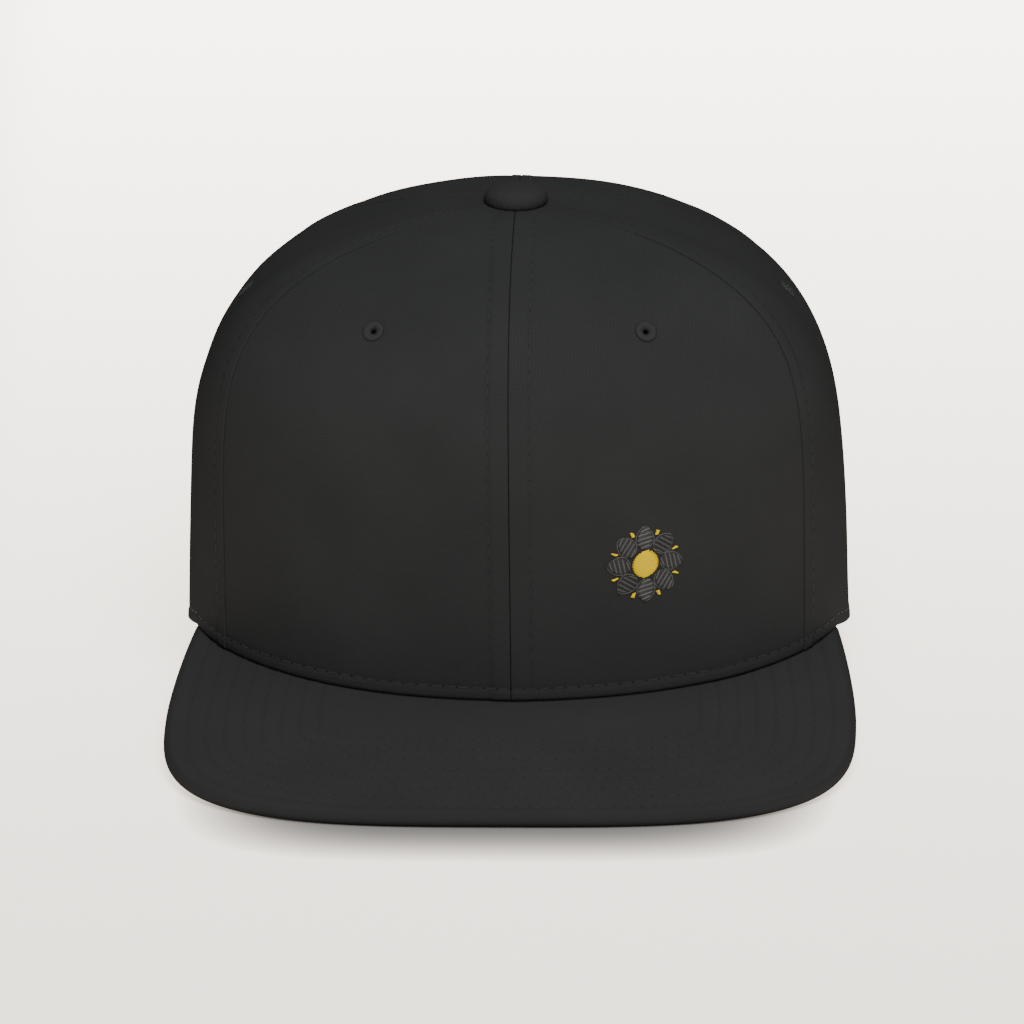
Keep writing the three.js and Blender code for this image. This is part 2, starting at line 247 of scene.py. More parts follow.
soft_light("key_light", (0.45, -1.7, 2.5), 99)
soft_light("fill_light", (0.2, -2.4, 0.9), 9)
soft_light("top_light", (0, -0.2, 3.0), 27)
soft_light("rear_light", (0.4, 1.8, 1.7), 5)

world = bpy.data.worlds.new("studio")
world.use_nodes = True
sky = world.node_tree.nodes["Background"]
sky.inputs["Color"].default_value = (1, 1, 1, 1)
sky.inputs["Strength"].default_value = 0.23
bpy.context.scene.world = world

# %% [markdown]
# ## The form of the crown
# A cap maker sews the panels and then presses them on a heated block. Our block is a formula, the same
# as the CAD model's: the rim's plan is a half ellipse in front and a fuller half behind, and the
# profile of the side runs straight up before it turns over the shoulder.

# %% Sizes of the crown
CROWN_WIDTH = 0.183
CROWN_FRONT = 0.075
CROWN_BACK = 0.107
WIDEST_AHEAD = 0.014
BACK_FULLNESS = 2.2
CROWN_TOP = 0.130
WALL = 0.002
GAP = 0.0003
GORE_FLAT = 0.0013
TOP_HOLE_RADIUS = 0.0034
PROFILE_ANGLES = [0, 60, 90, 180]
PROFILE_POWERS = [6.5, 6.6, 5.1, 3.4]
PANEL_STEP = math.radians(60)

VISOR_WIDTH = 0.187
VISOR_LENGTH = 0.063
VISOR_TILT = math.radians(8.3)
VISOR_SLOPE = math.tan(VISOR_TILT)
VISOR_REACH = VISOR_LENGTH * math.cos(VISOR_TILT)
VISOR_BOW = 0.0016
VISOR_THICKNESS = 0.0028
VISOR_WIDEST_AHEAD = 0.080
VISOR_SQUARENESS = 3.1
VISOR_TIP = math.radians(74.5)
VISOR_TIP_OUT = 0.0005
VISOR_FRONT_SHARE = 0.68
RIM_TURN = math.radians(75)
RIM_LANDS = 0.060
RIM_SAG = 1.25
HALF_WIDTH = CROWN_WIDTH / 2
BUTTON_Y = (VISOR_REACH + CROWN_FRONT - CROWN_BACK) / 2

# %% The rim's plan and the visor's slope
def rim_plan(angle):
    """The rim seen from above, from the button's axis. The angle counts from the front towards +X."""
    c, s = np.cos(angle), np.sin(angle)
    power = np.where(c >= 0, 1.0, 2 / BACK_FULLNESS)
    x = HALF_WIDTH * np.sign(s) * np.abs(s) ** power
    ahead = (CROWN_FRONT - WIDEST_AHEAD) * np.abs(c)
    behind = (CROWN_BACK + WIDEST_AHEAD) * np.abs(c) ** power
    return np.stack([x, -WIDEST_AHEAD + np.where(c >= 0, -ahead, behind)], -1)


def rim_inset(angle, depth):
    along = rim_plan(angle + 0.001) - rim_plan(angle - 0.001)
    along /= np.linalg.norm(along, axis=-1, keepdims=True)
    return rim_plan(angle) + depth * np.stack([-along[..., 1], along[..., 0]], -1)


def visor_drop(plan):
    tip_x = rim_plan(np.array(VISOR_TIP))[0]
    ahead = plan[..., 1] + CROWN_FRONT + VISOR_REACH
    return ahead * VISOR_SLOPE - VISOR_BOW * (plan[..., 0] / tip_x) ** 2


def visor_edge(share):
    """The visor's outline, from one tip (-1) round the front (0) to the other (1)."""
    side, s = np.where(share < 0, -1.0, 1.0), np.abs(share)
    a = np.minimum(s / VISOR_FRONT_SHARE, 1) * math.pi / 2
    reach = CROWN_FRONT + VISOR_REACH - VISOR_WIDEST_AHEAD
    across = np.abs(np.sin(a)) / (VISOR_WIDTH / 2)
    ahead = np.abs(np.cos(a)) / reach
    r = (across**VISOR_SQUARENESS + ahead**VISOR_SQUARENESS) ** (-1 / VISOR_SQUARENESS)
    tip = rim_inset(np.array(VISOR_TIP), -VISOR_TIP_OUT)
    t = np.clip((s - VISOR_FRONT_SHARE) / (1 - VISOR_FRONT_SHARE), 0, 1)
    front = s <= VISOR_FRONT_SHARE
    x_behind = VISOR_WIDTH / 2 - (VISOR_WIDTH / 2 - tip[0]) * t**1.6
    y_behind = (tip[1] + VISOR_WIDEST_AHEAD) * t - VISOR_WIDEST_AHEAD
    x = np.where(front, r * np.sin(a), x_behind)
    y = np.where(front, -VISOR_WIDEST_AHEAD - r * np.cos(a), y_behind)
    return np.stack([side * x, y], -1)


# The board's rounded edge touches the floor where its underside is lowest.
ROUND = VISOR_THICKNESS / 2
corner = visor_edge(np.arange(0, VISOR_FRONT_SHARE, 0.01))
lowest = 0.0
for turn in np.radians([0, 40, 80]):
    inset = ROUND * (1 - math.sin(turn))
    inner = corner * (1 - inset / np.linalg.norm(corner, axis=-1, keepdims=True))
    lowest = min(lowest, float((visor_drop(inner) + ROUND * (1 - math.cos(turn))).min()))


def visor_top(plan):
    return VISOR_THICKNESS - lowest + visor_drop(plan)


print("Visor's top at the middle of the rim, mm:", round(float(visor_top(rim_plan(np.array(0.0)))) / MM, 2))

# %% The crown's outside
def rim_height(angle):
    a = np.abs(angle)
    on_visor = visor_top(rim_inset(np.minimum(a, RIM_TURN), WALL / 2)) + GAP
    start = rim_plan(np.array(RIM_TURN))[1]
    left = np.clip((RIM_LANDS - rim_plan(a)[..., 1]) / (RIM_LANDS - start), 0, None)
    return np.where(a <= RIM_TURN, on_visor, on_visor * left**RIM_SAG)


def profile_power(angle):
    degrees = np.degrees(np.abs(angle))
    degrees = np.where(degrees > 180, 360 - degrees, degrees)
    power = np.full_like(degrees, PROFILE_POWERS[0], dtype=float)
    for k in range(3):
        t = np.clip((degrees - PROFILE_ANGLES[k]) / (PROFILE_ANGLES[k + 1] - PROFILE_ANGLES[k]), 0, 1)
        power += (PROFILE_POWERS[k + 1] - PROFILE_POWERS[k]) * t * t * (3 - 2 * t)
    return power


def crown_point(angle, height, flat=GORE_FLAT):
    """A point of the crown: height runs from 0 at the rim to 1 at the top."""
    angle, height = np.broadcast_arrays(np.asarray(angle, float), np.asarray(height, float))
    share = np.abs(angle) / PANEL_STEP
    low = np.clip(height, 0, 1)
    gore = flat * np.sin(math.pi * (share - np.floor(share))) ** 2 * np.sin(math.pi * low) / HALF_WIDTH
    width = np.sqrt(np.clip(1 - low ** profile_power(angle), 0, None)) - gore
    plan = rim_plan(angle) * width[..., None]
    rim = rim_height(angle)
    z = rim + (CROWN_TOP - rim) * height
    return np.stack([plan[..., 0], plan[..., 1] + BUTTON_Y, z], -1)


def crown_normal(angle, height):
    step = 0.002
    h = np.clip(height, step, 1 - 2 * step)
    around = crown_point(angle + step, h, 0) - crown_point(angle - step, h, 0)
    upward = crown_point(angle, h + step, 0) - crown_point(angle, h - step, 0)
    normal = np.cross(around, upward)
    return normal / np.linalg.norm(normal, axis=-1, keepdims=True)


def run_along(path):
    """Metres run at each point of a path."""
    return np.concatenate([[0], np.cumsum(np.linalg.norm(np.diff(path, axis=0), axis=1))])


def girth(angle, height):
    """Metres of cloth for one radian round the crown."""
    step = 0.002
    span = crown_point(angle + step, height, 0) - crown_point(angle - step, height, 0)
    return np.linalg.norm(span, axis=-1) / (2 * step)


def top_height(angle):
    share = TOP_HOLE_RADIUS / np.linalg.norm(rim_plan(angle), axis=-1)
    return (1 - share**2) ** (1 / profile_power(angle))


print("Crown's front is", round(float(crown_point(0.0, 0.3)[1]) / MM, 1), "mm from the middle")

# %% [markdown]
# ## What sewing does to the cloth
# Where two panels meet, their edges turn inwards and leave a thin valley. Under the cloth lie the
# turned edges, which raise it a little, out to the row of stitches that pulls it down again. The
# eyelets pucker the cloth round them, and pressed cloth is never quite even. This relief is made as
# moves of the sheet's points, because a simulation can't press in a seam this narrow.

# %% Relief of the cloth
SEAM_ROWS = {0: 0.0056, 1: 0.0040, 2: 0.0042, 3: 0.0042}
SEAM_RISE = {0: 0.00028, 1: 0.00032, 2: 0.00020, 3: 0.00016}
FURROW = 0.00012
EYELETS = {"front": (29.5, 0.84), "side": (93, 0.8), "back": (150, 0.78)}
DISH_DEPTH, DISH_REACH = 0.00060, 0.0046
FOLD_RISE, FOLD_RING, FOLD_REACH = 0.00014, 0.0050, 0.0020
UNEVEN = 0.00010
RIM_ROW = 0.0033
HEM_RISE = 0.00022
HEM_PULL, HEM_PULL_REACH = 0.00016, 0.0006


def bell(away, reach):
    """1 in the middle of a swell or a dip, near 0 at twice its reach."""
    return np.exp(-((away / reach) ** 2))


def smooth(edge0, edge1, x):
    t = np.clip((x - edge0) / (edge1 - edge0), 0, 1)
    return t * t * (3 - 2 * t)


def row_angle(seam, height):
    """How far round the crown a seam's row of stitches lies from it."""
    width = girth(seam * PANEL_STEP * np.ones_like(height), height)
    return np.minimum(SEAM_ROWS[abs(seam)] / width, 0.30 * PANEL_STEP)


def seam_relief(angle, height):
    seam = np.round(angle / PANEL_STEP)
    away = np.abs(angle - seam * PANEL_STEP)
    relief = np.zeros_like(away)
    for k in range(-3, 4):
        here = seam == k
        if abs(k) == 1:
            here &= np.abs(angle) > PANEL_STEP
        if here.any():
            share = away[here] / row_angle(k, height[here])
            rise = SEAM_RISE[abs(k)] * (1 - smooth(0.80, 1.05, share))
            furrow = FURROW * bell(share - 1.0, 0.14)
            relief[here] = (rise - furrow) * (1 - smooth(0.955, 0.992, height[here]))
    return relief


def eyelet_relief(points, centre, normal):
    """A shallow dish round an eyelet, with small folds that run towards it."""
    away = points - centre
    along = away @ normal
    flat = away - along[:, None] * normal
    r = np.linalg.norm(flat, axis=-1)
    side = np.cross([0, 0, 1.0], normal)
    side /= np.linalg.norm(side)
    turn = np.arctan2(flat @ np.cross(normal, side), flat @ side)
    dish = -DISH_DEPTH * bell(r, DISH_REACH)
    fold = FOLD_RISE * np.sin(5 * turn + 0.6 + np.sin(2 * turn)) * bell(r - FOLD_RING, FOLD_REACH)
    same_wall = np.abs(along) < 0.02
    return np.where(same_wall, dish + fold, 0)


def uneven(points):
    """Long low waves of cloth that was pressed by hand."""
    x, y, z = (points / MM).T
    wave = np.sin(x / 8.5 + 0.6 * np.sin(z / 11)) * np.sin(z / 13 + 1.1 + 0.5 * np.sin(y / 15))
    wave = wave + 0.6 * np.sin(x / 5.1 + z / 7.3 + y / 6.1 + 2)
    return UNEVEN * wave


def hem_relief(away, row):
    """A turned hem: a little raised out to its row of stitches, which pulls the cloth down."""
    raised = HEM_RISE * (1 - smooth(row * 0.75, row * 1.1, away))
    return raised - HEM_PULL * bell(away - row, HEM_PULL_REACH)


def above_rim(angle, height):
    return (CROWN_TOP - rim_height(angle)) * height


def sewn_point(angle, height, lift=0.0):
    """A point on the sewn cloth, with the seams' and the hem's relief, lifted off it by a little."""
    out = seam_relief(angle, height) + hem_relief(above_rim(angle, height), RIM_ROW) + lift
    return crown_point(angle, height) + crown_normal(angle, height) * out[..., None]


# %% Where the seam rows run
ROWS_END = 0.075


def climb_to_button(start=0.0, end=ROWS_END, count=900):
    """Heights that lie closer and closer towards the button, as a row of even steps needs there."""
    return 1 - np.linspace(math.sqrt(1 - start), end, count) ** 2


def seam_row(seam, sign):
    """Angles and heights along a seam's row of stitches, from the rim to the button, and metres run."""
    h = climb_to_button()
    angle = seam * PANEL_STEP + sign * row_angle(seam, h)
    return angle, h, run_along(crown_point(angle, h))

# %% [markdown]
# ## Twill
# Twill is woven so that each yarn floats over two and steps aside by one, which draws slanting ribs
# across the cloth. Each panel is cut at its own angle, so the ribs turn from panel to panel. Every
# cloth piece carries an attribute, weave: metres across the ribs and along them. The material reads it
# and builds the ribs, the short floats on them and a fine fuzz.

# %% Twill and plain cloth
PITCH = 0.0037
HOLE = 0.00030
# Painted shade: ROW_SHADE is how far it reaches beside a stitched row, and SHADOW is the colour of all
# painted shade on the cloth.
ROW_SHADE = 0.0012
VISOR_ROW_STEP = 0.0051
# Painted shade: the visor's cloth darkens over this span in from the board's outline.
EDGE_SHADE_SPAN = (0.0024, 0.0008)
SHADOW = grey(0.002)


def needle_holes_and_shade(cloth, name, spacing=None):
    """1 in the holes of a stitched row, 0 elsewhere, and a softer band that follows the row.

    The attribute holds how many stitches lie behind a point, and how far the row is from it. With a
    spacing it counts rows instead, so that one attribute serves many rows."""
    beat, beside, _ = cloth.kept(name)
    if spacing:
        beside = beside.math("PINGPONG", 0.5) * spacing
    to_end = (beat * math.pi).math("SINE") * (PITCH / math.pi)
    reach = (to_end * to_end + beside * beside).math("SQRT")
    hole = cloth.ramp(reach, HOLE, HOLE * 0.4, eased=True)
    return hole, cloth.ramp(beside.math("ABSOLUTE"), ROW_SHADE, 0.0, eased=True)


def woven(name, dark, light, pitch, strength, rows=None, spacing=None, edge=0.0):
    """Cloth with ribs a pitch apart. rows says how dark the painted shade in the holes of each stitched row
    is, and edge how much painted shade darkens the cloth near the outline of a board that it wraps."""
    cloth = Finish(name, Specular_IOR_Level=0.0)
    across, along, _ = cloth.kept("weave")
    drift = cloth.noise(90, 2) - 0.5
    rib = across / pitch + drift * 0.5
    ribs = rib.wave()
    floats = (along / (pitch * 1.3) + rib * 0.5 + cloth.noise(600, 1) * 1.2).wave()
    fuzz = cloth.noise(2600, 3)
    patch = cloth.noise(38, 3)
    yarn = ribs * (floats * 0.7 + 0.3)
    height = yarn + fuzz * 0.4
    shade = yarn * 0.35 + fuzz * 0.55 + (patch - 0.5) * 0.6
    colour = cloth.blend(shade, dark, light)
    # Painted shade: the colour darkens into each needle hole and a little along the row's furrow.
    for row, show in (rows or {}).items():
        hole, band = needle_holes_and_shade(cloth, row, spacing)
        colour = cloth.blend((hole * show).math("MAXIMUM", band * 0.05), colour, SHADOW)
        height = height - hole * 1.5
    # Painted shade of the rounded edge: the cloth darkens towards the outline of the board it wraps.
    if edge:
        _, _, inward = cloth.kept("row")
        colour = cloth.blend(cloth.ramp(inward, *EDGE_SHADE_SPAN) * edge, colour, SHADOW)
    cloth.feed("Base Color", colour)
    cloth.feed("Roughness", 0.92 + (fuzz - 0.5) * 0.12)
    cloth.carve(height, strength, 0.00022)
    return cloth.material


twill = woven("twill", grey(0.0186, -0.018), grey(0.0286, -0.018), 0.0009, 0.23,
              rows={"row": 0.40, "hem": 0.85, "arch": 0.60})
button_twill = woven("button_twill", grey(0.0205), grey(0.0300), 0.0009, 0.14)
visor_cloth = woven("visor_twill", grey(0.0210), grey(0.0296), 0.0007, 0.14,
                    rows={"row": 0.35}, spacing=VISOR_ROW_STEP, edge=0.20)
band_cloth = woven("band_cotton", grey(0.012), grey(0.022), 0.0007, 0.4)


def sewing(name, dark, light, roughness=0.7, shine=0.12):
    """Thread: two plies twisted together, a little shinier than the cloth."""
    thread = Finish(name, Roughness=roughness, Specular_IOR_Level=shine)
    twist = thread.node("ShaderNodeTexWave", {"bands_direction": "DIAGONAL"}, {
        "Vector": thread.place(), "Scale": 900.0, "Distortion": 1.5}, "Fac")
    fuzz = thread.noise(3000, 2)
    thread.feed("Base Color", thread.blend(twist * 0.6 + fuzz * 0.4, dark, light))
    thread.carve(twist * 0.7 + fuzz * 0.3, 0.25, 0.00004)
    return thread.material


seam_thread = sewing("seam_thread", grey(0.017, -0.03), grey(0.027, -0.03))
eyelet_thread = sewing("eyelet_thread", grey(0.0165, -0.02), grey(0.0255, -0.02))
rim_thread = sewing("rim_thread", grey(0.004), grey(0.010))

# %% [markdown]
# ## Laying a sheet on a form
# Cloth begins as a flat sheet, so each piece begins as a grid. Its points are moved onto the form in
# code, the sheet is extruded as a whole, and the new skin is moved inwards to give the wall its
# thickness. Points keep where they lie on the form in an attribute, so the second skin finds its place.

# %% Sheets
def pick(piece):
    deselect_all()
    piece.select_set(True)
    bpy.context.view_layer.objects.active = piece


def points_of(piece):
    co = np.empty(len(piece.data.vertices) * 3)
    piece.data.vertices.foreach_get("co", co)
    return co.reshape(-1, 3)


def move_points(piece, points):
    piece.data.vertices.foreach_set("co", np.asarray(points, np.float32).ravel())
    piece.data.update()


def note(piece, name, *columns):
    """Keeps up to three numbers for each point in an attribute."""
    values = np.zeros((len(piece.data.vertices), 3), np.float32)
    for k, column in enumerate(columns):
        values[:, k] = column
    kept = piece.data.attributes.new(name, "FLOAT_VECTOR", "POINT")
    kept.data.foreach_set("vector", values.ravel())


def noted(piece, name):
    values = np.empty(len(piece.data.vertices) * 3, np.float32)
    piece.data.attributes[name].data.foreach_get("vector", values)
    return values.reshape(-1, 3).astype(float)


def note_weave(piece, across, along, turn):
    """Keeps where a point lies on the cloth, with the cloth cut at an angle to its weave."""
    s, c = math.sin(turn), math.cos(turn)
    note(piece, "weave", along * c - across * s, across * c + along * s)


def settle(name):
    """Puts the new primitive's place into its mesh and names it."""
    bpy.ops.object.transform_apply(location=True, rotation=True)
    made = bpy.context.object
    made.name = made.data.name = name
    return made


def flat_sheet(name, columns, rows):
    """A grid one unit wide and long, from 0 to 1 both ways."""
    deselect_all()
    middle = (0.5, 0.5, 0)
    bpy.ops.mesh.primitive_grid_add(x_subdivisions=columns, y_subdivisions=rows, size=1, location=middle)
    return settle(name)


def selected_points(piece):
    chosen = np.empty(len(piece.data.vertices), bool)
    piece.data.vertices.foreach_get("select", chosen)
    return chosen


def thicken(piece, inner_skin):
    """Extrudes the sheet and lays the new skin where inner_skin(its place on the form) says."""
    pick(piece)
    bpy.ops.object.mode_set(mode="EDIT")
    bpy.ops.mesh.select_all(action="SELECT")
    bpy.ops.mesh.extrude_region()
    bpy.ops.object.mode_set(mode="OBJECT")
    moved = selected_points(piece)
    points = points_of(piece)
    points[moved] = inner_skin(noted(piece, "place")[moved])
    move_points(piece, points)
    face_out(piece)


def face_out(piece):
    pick(piece)
    bpy.ops.object.mode_set(mode="EDIT")
    bpy.ops.mesh.select_all(action="SELECT")
    bpy.ops.mesh.normals_make_consistent(inside=False)
    bpy.ops.object.mode_set(mode="OBJECT")


def cloth_area(sheet):
    """Square metres of a sheet on its form, before it has a thickness. Cloth hardly stretches, so
    this is the area that it was cut to."""
    return sum(face.area for face in sheet.data.polygons)


def print_cut(*sides):
    print("Cut to", " x ".join(f"{side / MM:.1f}" for side in sides), "mm")


def finish_piece(piece, material, slot, *nodes, sharp=50):
    """Smooths a finished piece, gives it its material, and puts it in the frame."""
    pick(piece)
    bpy.ops.object.shade_smooth_by_angle(angle=math.radians(sharp))
    piece.data.materials.clear()
    piece.data.materials.append(material)
    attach(piece, "root")
    if nodes:
        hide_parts(*nodes)
    print(piece.name, len(piece.data.polygons), "faces")

# %% [markdown]
# ## The six panels
# Columns of the grid crowd together at the seams and rows at the rim, where the relief is finest. The
# lowest rows and outermost columns roll inwards, as a turned edge does.

# %% Panels
OPENING_WIDTH = 0.080
OPENING_HEIGHT = 0.050
ARCH_TOP = OPENING_HEIGHT / CROWN_TOP
ARCH_ROW = 0.0045
SEAM_ROLL, SEAM_DIVE = 0.0003, 0.0006
RIM_ROLL, RIM_DIVE = 0.0005, 0.0004
ARCH_ROLL, ARCH_DIVE = 0.0010, 0.0009
LAP = 0.0004
PANEL_COLUMNS = 84
PANEL_ROWS = 130
ARCH_GRID_ROWS = 46
CUT_ANGLES = {
    ("front", -1): 50,
    ("front", 1): 69,
    ("side", -1): 35,
    ("side", 1): 50,
    ("back", -1): 52,
    ("back", 1): 40,
}


def arch_angle(height):
    """Where the arch of the rear opening cuts a row of a back panel."""
    low = np.minimum(height, ARCH_TOP)
    width = np.sqrt(1 - low ** PROFILE_POWERS[3])
    cut = (OPENING_WIDTH / 2) * np.sqrt(1 - (low / ARCH_TOP) ** 2) / (HALF_WIDTH * width)
    return math.pi - np.arcsin(np.clip(cut, 0, 1) ** (BACK_FULLNESS / 2))


def even_heights(angle, count, start=0.0):
    """Heights whose rows lie evenly up the panel, a little closer at the rim."""
    h = climb_to_button(start, 0, 2000)
    run = run_along(crown_point(np.full_like(h, angle), h * float(top_height(np.array(angle))), 0))
    t = np.linspace(0, 1, count + 1)
    t = t if start else 0.35 * t + 0.65 * t**1.6
    return np.interp(t * run[-1], run, h)


def crowd(share, amount=0.86):
    """Moves evenly spaced columns towards both ends."""
    return share - amount * np.sin(2 * math.pi * share) / (2 * math.pi)


def panel_rows(place):
    if place != "back":
        return even_heights(PANEL_STEP / 2, PANEL_ROWS)
    below = ARCH_TOP * np.sin(np.linspace(0, 1, ARCH_GRID_ROWS + 1) * math.pi / 2)
    above = even_heights(PANEL_STEP * 2.5, PANEL_ROWS - ARCH_GRID_ROWS, ARCH_TOP)
    return np.concatenate([below[:-1], above])


def turned_edge(away, radius, depth):
    """How deep a rolled edge dives, away metres in from it."""
    share = np.clip(1 - away / radius, 0, 1)
    return depth * (1 - np.sqrt(1 - share**2))


def arch_line():
    """The edge of the rear opening, from the left foot over its top to the right foot."""
    levels = ARCH_TOP * np.sin(np.linspace(0.0, 1, 500) * math.pi / 2)
    half = np.stack([arch_angle(levels), levels], -1)
    return np.concatenate([half, [[2 * math.pi - a, h] for a, h in half[-2::-1]]])


def heading(line):
    """Which way a line of points runs at each of them."""
    ahead = np.gradient(line, axis=0)
    return ahead / np.linalg.norm(ahead, axis=-1, keepdims=True)


def along_line(points, line):
    """For each point, the nearest place on a line of points: how far along it and how far beside it."""
    ahead = heading(line)
    index, gap = np.empty(len(points), int), np.empty(len(points))
    for k in range(0, len(points), 2000):
        gaps = ((points[k:k + 2000, None] - line[None]) ** 2).sum(-1)
        index[k:k + 2000] = gaps.argmin(-1)
        gap[k:k + 2000] = np.sqrt(gaps.min(-1))
    step = ((points - line[index]) * ahead[index]).sum(-1)
    return run_along(line)[index] + step, np.sqrt(np.clip(gap**2 - step**2, 0, None))


def panel_inside(spot):
    """The inner skin. At the seams it reaches a little under the next panel, as a seam allowance does."""
    angle, height, share = spot.T
    under = LAP * np.sign(share) * (np.abs(share) > 0.9999) * np.sign(angle)
    angle = angle + under / girth(angle, np.minimum(height, 0.9985))
    return crown_point(angle, height) - crown_normal(angle, height) * WALL


def widest_row(first, last):
    """The width that a panel is cut to: its longest row, from seam to seam."""
    angles = np.linspace(first, last, 90)
    return max(float(run_along(crown_point(angles, level))[-1]) for level in np.linspace(0, 0.6, 13))


# %% The rim's row, and the hole of an eyelet
EYELET_HOLE = 0.0014
rim_angles = np.linspace(0, math.pi, 1200)
rim_run = run_along(crown_point(rim_angles, RIM_ROW / (CROWN_TOP - rim_height(rim_angles))))


def rim_beat(angle):
    """How many stitches of the rim's row lie between the front's middle and an angle."""
    return np.interp(angle, rim_angles, rim_run) / PITCH


def turned_to(out):
    """The rotation that turns a new primitive's Z along out."""
    return Vector(out).to_track_quat("Z", "Y").to_euler()


def drill_eyelet(piece, centre, out):
    deselect_all()
    bpy.ops.mesh.primitive_cylinder_add(vertices=20, radius=EYELET_HOLE, depth=0.012, location=centre,
                                        rotation=turned_to(out))
    bit = bpy.context.object
    pick(piece)
    cut = piece.modifiers.new("hole", "BOOLEAN")
    cut.operation = "DIFFERENCE"
    cut.solver = "EXACT"
    cut.object = bit
    bpy.ops.object.modifier_apply(modifier="hole")
    bpy.data.objects.remove(bit)


# %% [markdown]
# Each panel keeps three more attributes, one for each row of stitches that can cross it: how many
# stitches lie behind a point, and how far the row is from it. The twill reads them, dents a needle
# hole at every stitch's end, where the thread dives, and paints shade into the holes and along the row.

# %% Sew a panel
def stitch_attributes(sheet, place, angle, h, ends):
    """Rows beside the panel's two seams. A front panel has only one, beside the cap's middle."""
    first, last = ends
    wide = girth(angle, h)
    seam = round(first / PANEL_STEP)
    _, row_h, row_run = seam_row(seam, 1)
    _, next_h, next_run = seam_row(seam + 1, -1)
    near_first = angle < (first + last) / 2
    beat = np.where(near_first, np.interp(h, row_h, row_run), np.interp(h, next_h, next_run)) / PITCH
    from_first = (angle - first - row_angle(seam, h)) * wide
    from_last = (last - angle - row_angle(seam + 1, h)) * wide
    if place == "front":
        from_last = np.ones_like(h)
    note(sheet, "row", beat, np.where(near_first, from_first, from_last))


def panel_weave(sheet, angle, h, ends, turn, side):
    """Keeps the weave, and gives the panel's length along its middle."""
    middle = sum(ends) / 2
    levels = climb_to_button(0, 0, 1500)
    run = run_along(crown_point(np.full_like(levels, middle), levels, 0))
    up_panel = np.interp(h, levels, run)
    note_weave(sheet, (angle - middle) * side * girth(angle, h), up_panel, turn)
    return float(np.ptp(up_panel))


def cloth_panel(place, first, side):
    label = "right" if side > 0 else "left"
    sheet = flat_sheet(f"cloth_{place}_{label}", PANEL_COLUMNS, PANEL_ROWS)
    across, upward, _ = points_of(sheet).T
    rows = panel_rows(place)
    h = np.interp(upward, np.linspace(0, 1, len(rows)), rows)
    last = first + PANEL_STEP
    end = np.full_like(h, last)
    if place == "back":
        end = np.where(h < ARCH_TOP, np.minimum(end, arch_angle(h)), end)
    angle = first + (end - first) * crowd(across)
    h = h * top_height(angle)
    wide = girth(angle, h)
    note(sheet, "place", angle * side, h, across * 2 - 1)

    base = crown_point(angle * side, h)
    rise = above_rim(angle, h)
    dive = turned_edge((angle - first) * wide, SEAM_ROLL, SEAM_DIVE)
    dive = np.maximum(dive, turned_edge((last - angle) * wide, SEAM_ROLL, SEAM_DIVE))
    dive = np.maximum(dive, turned_edge(rise, RIM_ROLL, RIM_DIVE))
    out = seam_relief(angle * side, h) + uneven(base) - dive
    arch_run, arch_away = np.zeros_like(h), np.ones_like(h)
    if place == "back":
        edge = arch_line()
        edge = edge[: len(edge) // 2 + 1]
        arch_edge = crown_point(edge[:, 0], edge[:, 1], 0)
        arch_run, arch_away = along_line(crown_point(angle, h, 0), arch_edge)
        out -= turned_edge(arch_away, ARCH_ROLL, ARCH_DIVE)
    from_rim_row, from_arch_row = rise - RIM_ROW, arch_away - ARCH_ROW
    hem, arch_hem = hem_relief(rise, RIM_ROW), hem_relief(arch_away, ARCH_ROW)
    eyelet_degrees, eyelet_height = EYELETS[place]
    eyelet_angle = math.radians(eyelet_degrees) * side
    centre = crown_point(eyelet_angle, eyelet_height)
    centre_out = crown_normal(eyelet_angle, eyelet_height)
    out += np.where(from_rim_row < from_arch_row, hem, arch_hem) + eyelet_relief(base, centre, centre_out)
    move_points(sheet, base + crown_normal(angle * side, h) * out[:, None])

    length = panel_weave(sheet, angle, h, (first, last), math.radians(CUT_ANGLES[(place, side)]), side)
    stitch_attributes(sheet, place, angle, h, (first, last))
    note(sheet, "hem", rim_beat(angle), from_rim_row)
    note(sheet, "arch", arch_run / PITCH, from_arch_row)

    thicken(sheet, panel_inside)
    drill_eyelet(sheet, centre, centre_out)
    finish_piece(sheet, twill, "twill", f"panel_{place}_{label}")
    width = widest_row(first, last)
    print_cut(width, length)


for side in (-1, 1):
    for k, place in enumerate(("front", "side", "back")):
        cloth_panel(place, k * PANEL_STEP, side)

# %% [markdown]
# ## One stitch, many times
# A stitch of a lockstitch row is a short length of thread that lies on the cloth and dives into it at
# both ends. One is modelled from an eight-sided cylinder: its ends are extruded and narrowed.
# The rows then lay copies of it along a path, bent with the cloth, and join each row into one mesh.

# %% Model the stitch
def end_faces(piece, direction):
    """Selects the faces that look one way along X."""
    bpy.ops.mesh.select_all(action="DESELECT")
    bpy.ops.object.mode_set(mode="OBJECT")
    for face in piece.data.polygons:
        face.select = face.normal.x * direction > 0.9
    bpy.ops.object.mode_set(mode="EDIT")


deselect_all()
bpy.ops.mesh.primitive_cylinder_add(vertices=8, radius=0.5, depth=0.62, rotation=(0, math.pi / 2, 0))
bpy.ops.object.transform_apply(rotation=True)
stitch = bpy.context.object
stitch.name = "stitch_pattern"
bpy.ops.object.mode_set(mode="EDIT")
bpy.ops.mesh.select_mode(type="FACE")
for way in (-1, 1):
    for reach, narrow in ((0.12, 0.8), (0.07, 0.5)):
        end_faces(stitch, way)
        bpy.ops.mesh.extrude_region_move(TRANSFORM_OT_translate={"value": (way * reach, 0, 0)})
        bpy.ops.transform.resize(value=(1, narrow, narrow), center_override=(way * 0.4, 0, 0))
bpy.ops.mesh.select_all(action="SELECT")
bpy.ops.mesh.bisect(plane_co=(0, 0, 0), plane_no=(1, 0, 0))
bpy.ops.object.mode_set(mode="OBJECT")
stitch_points = points_of(stitch)
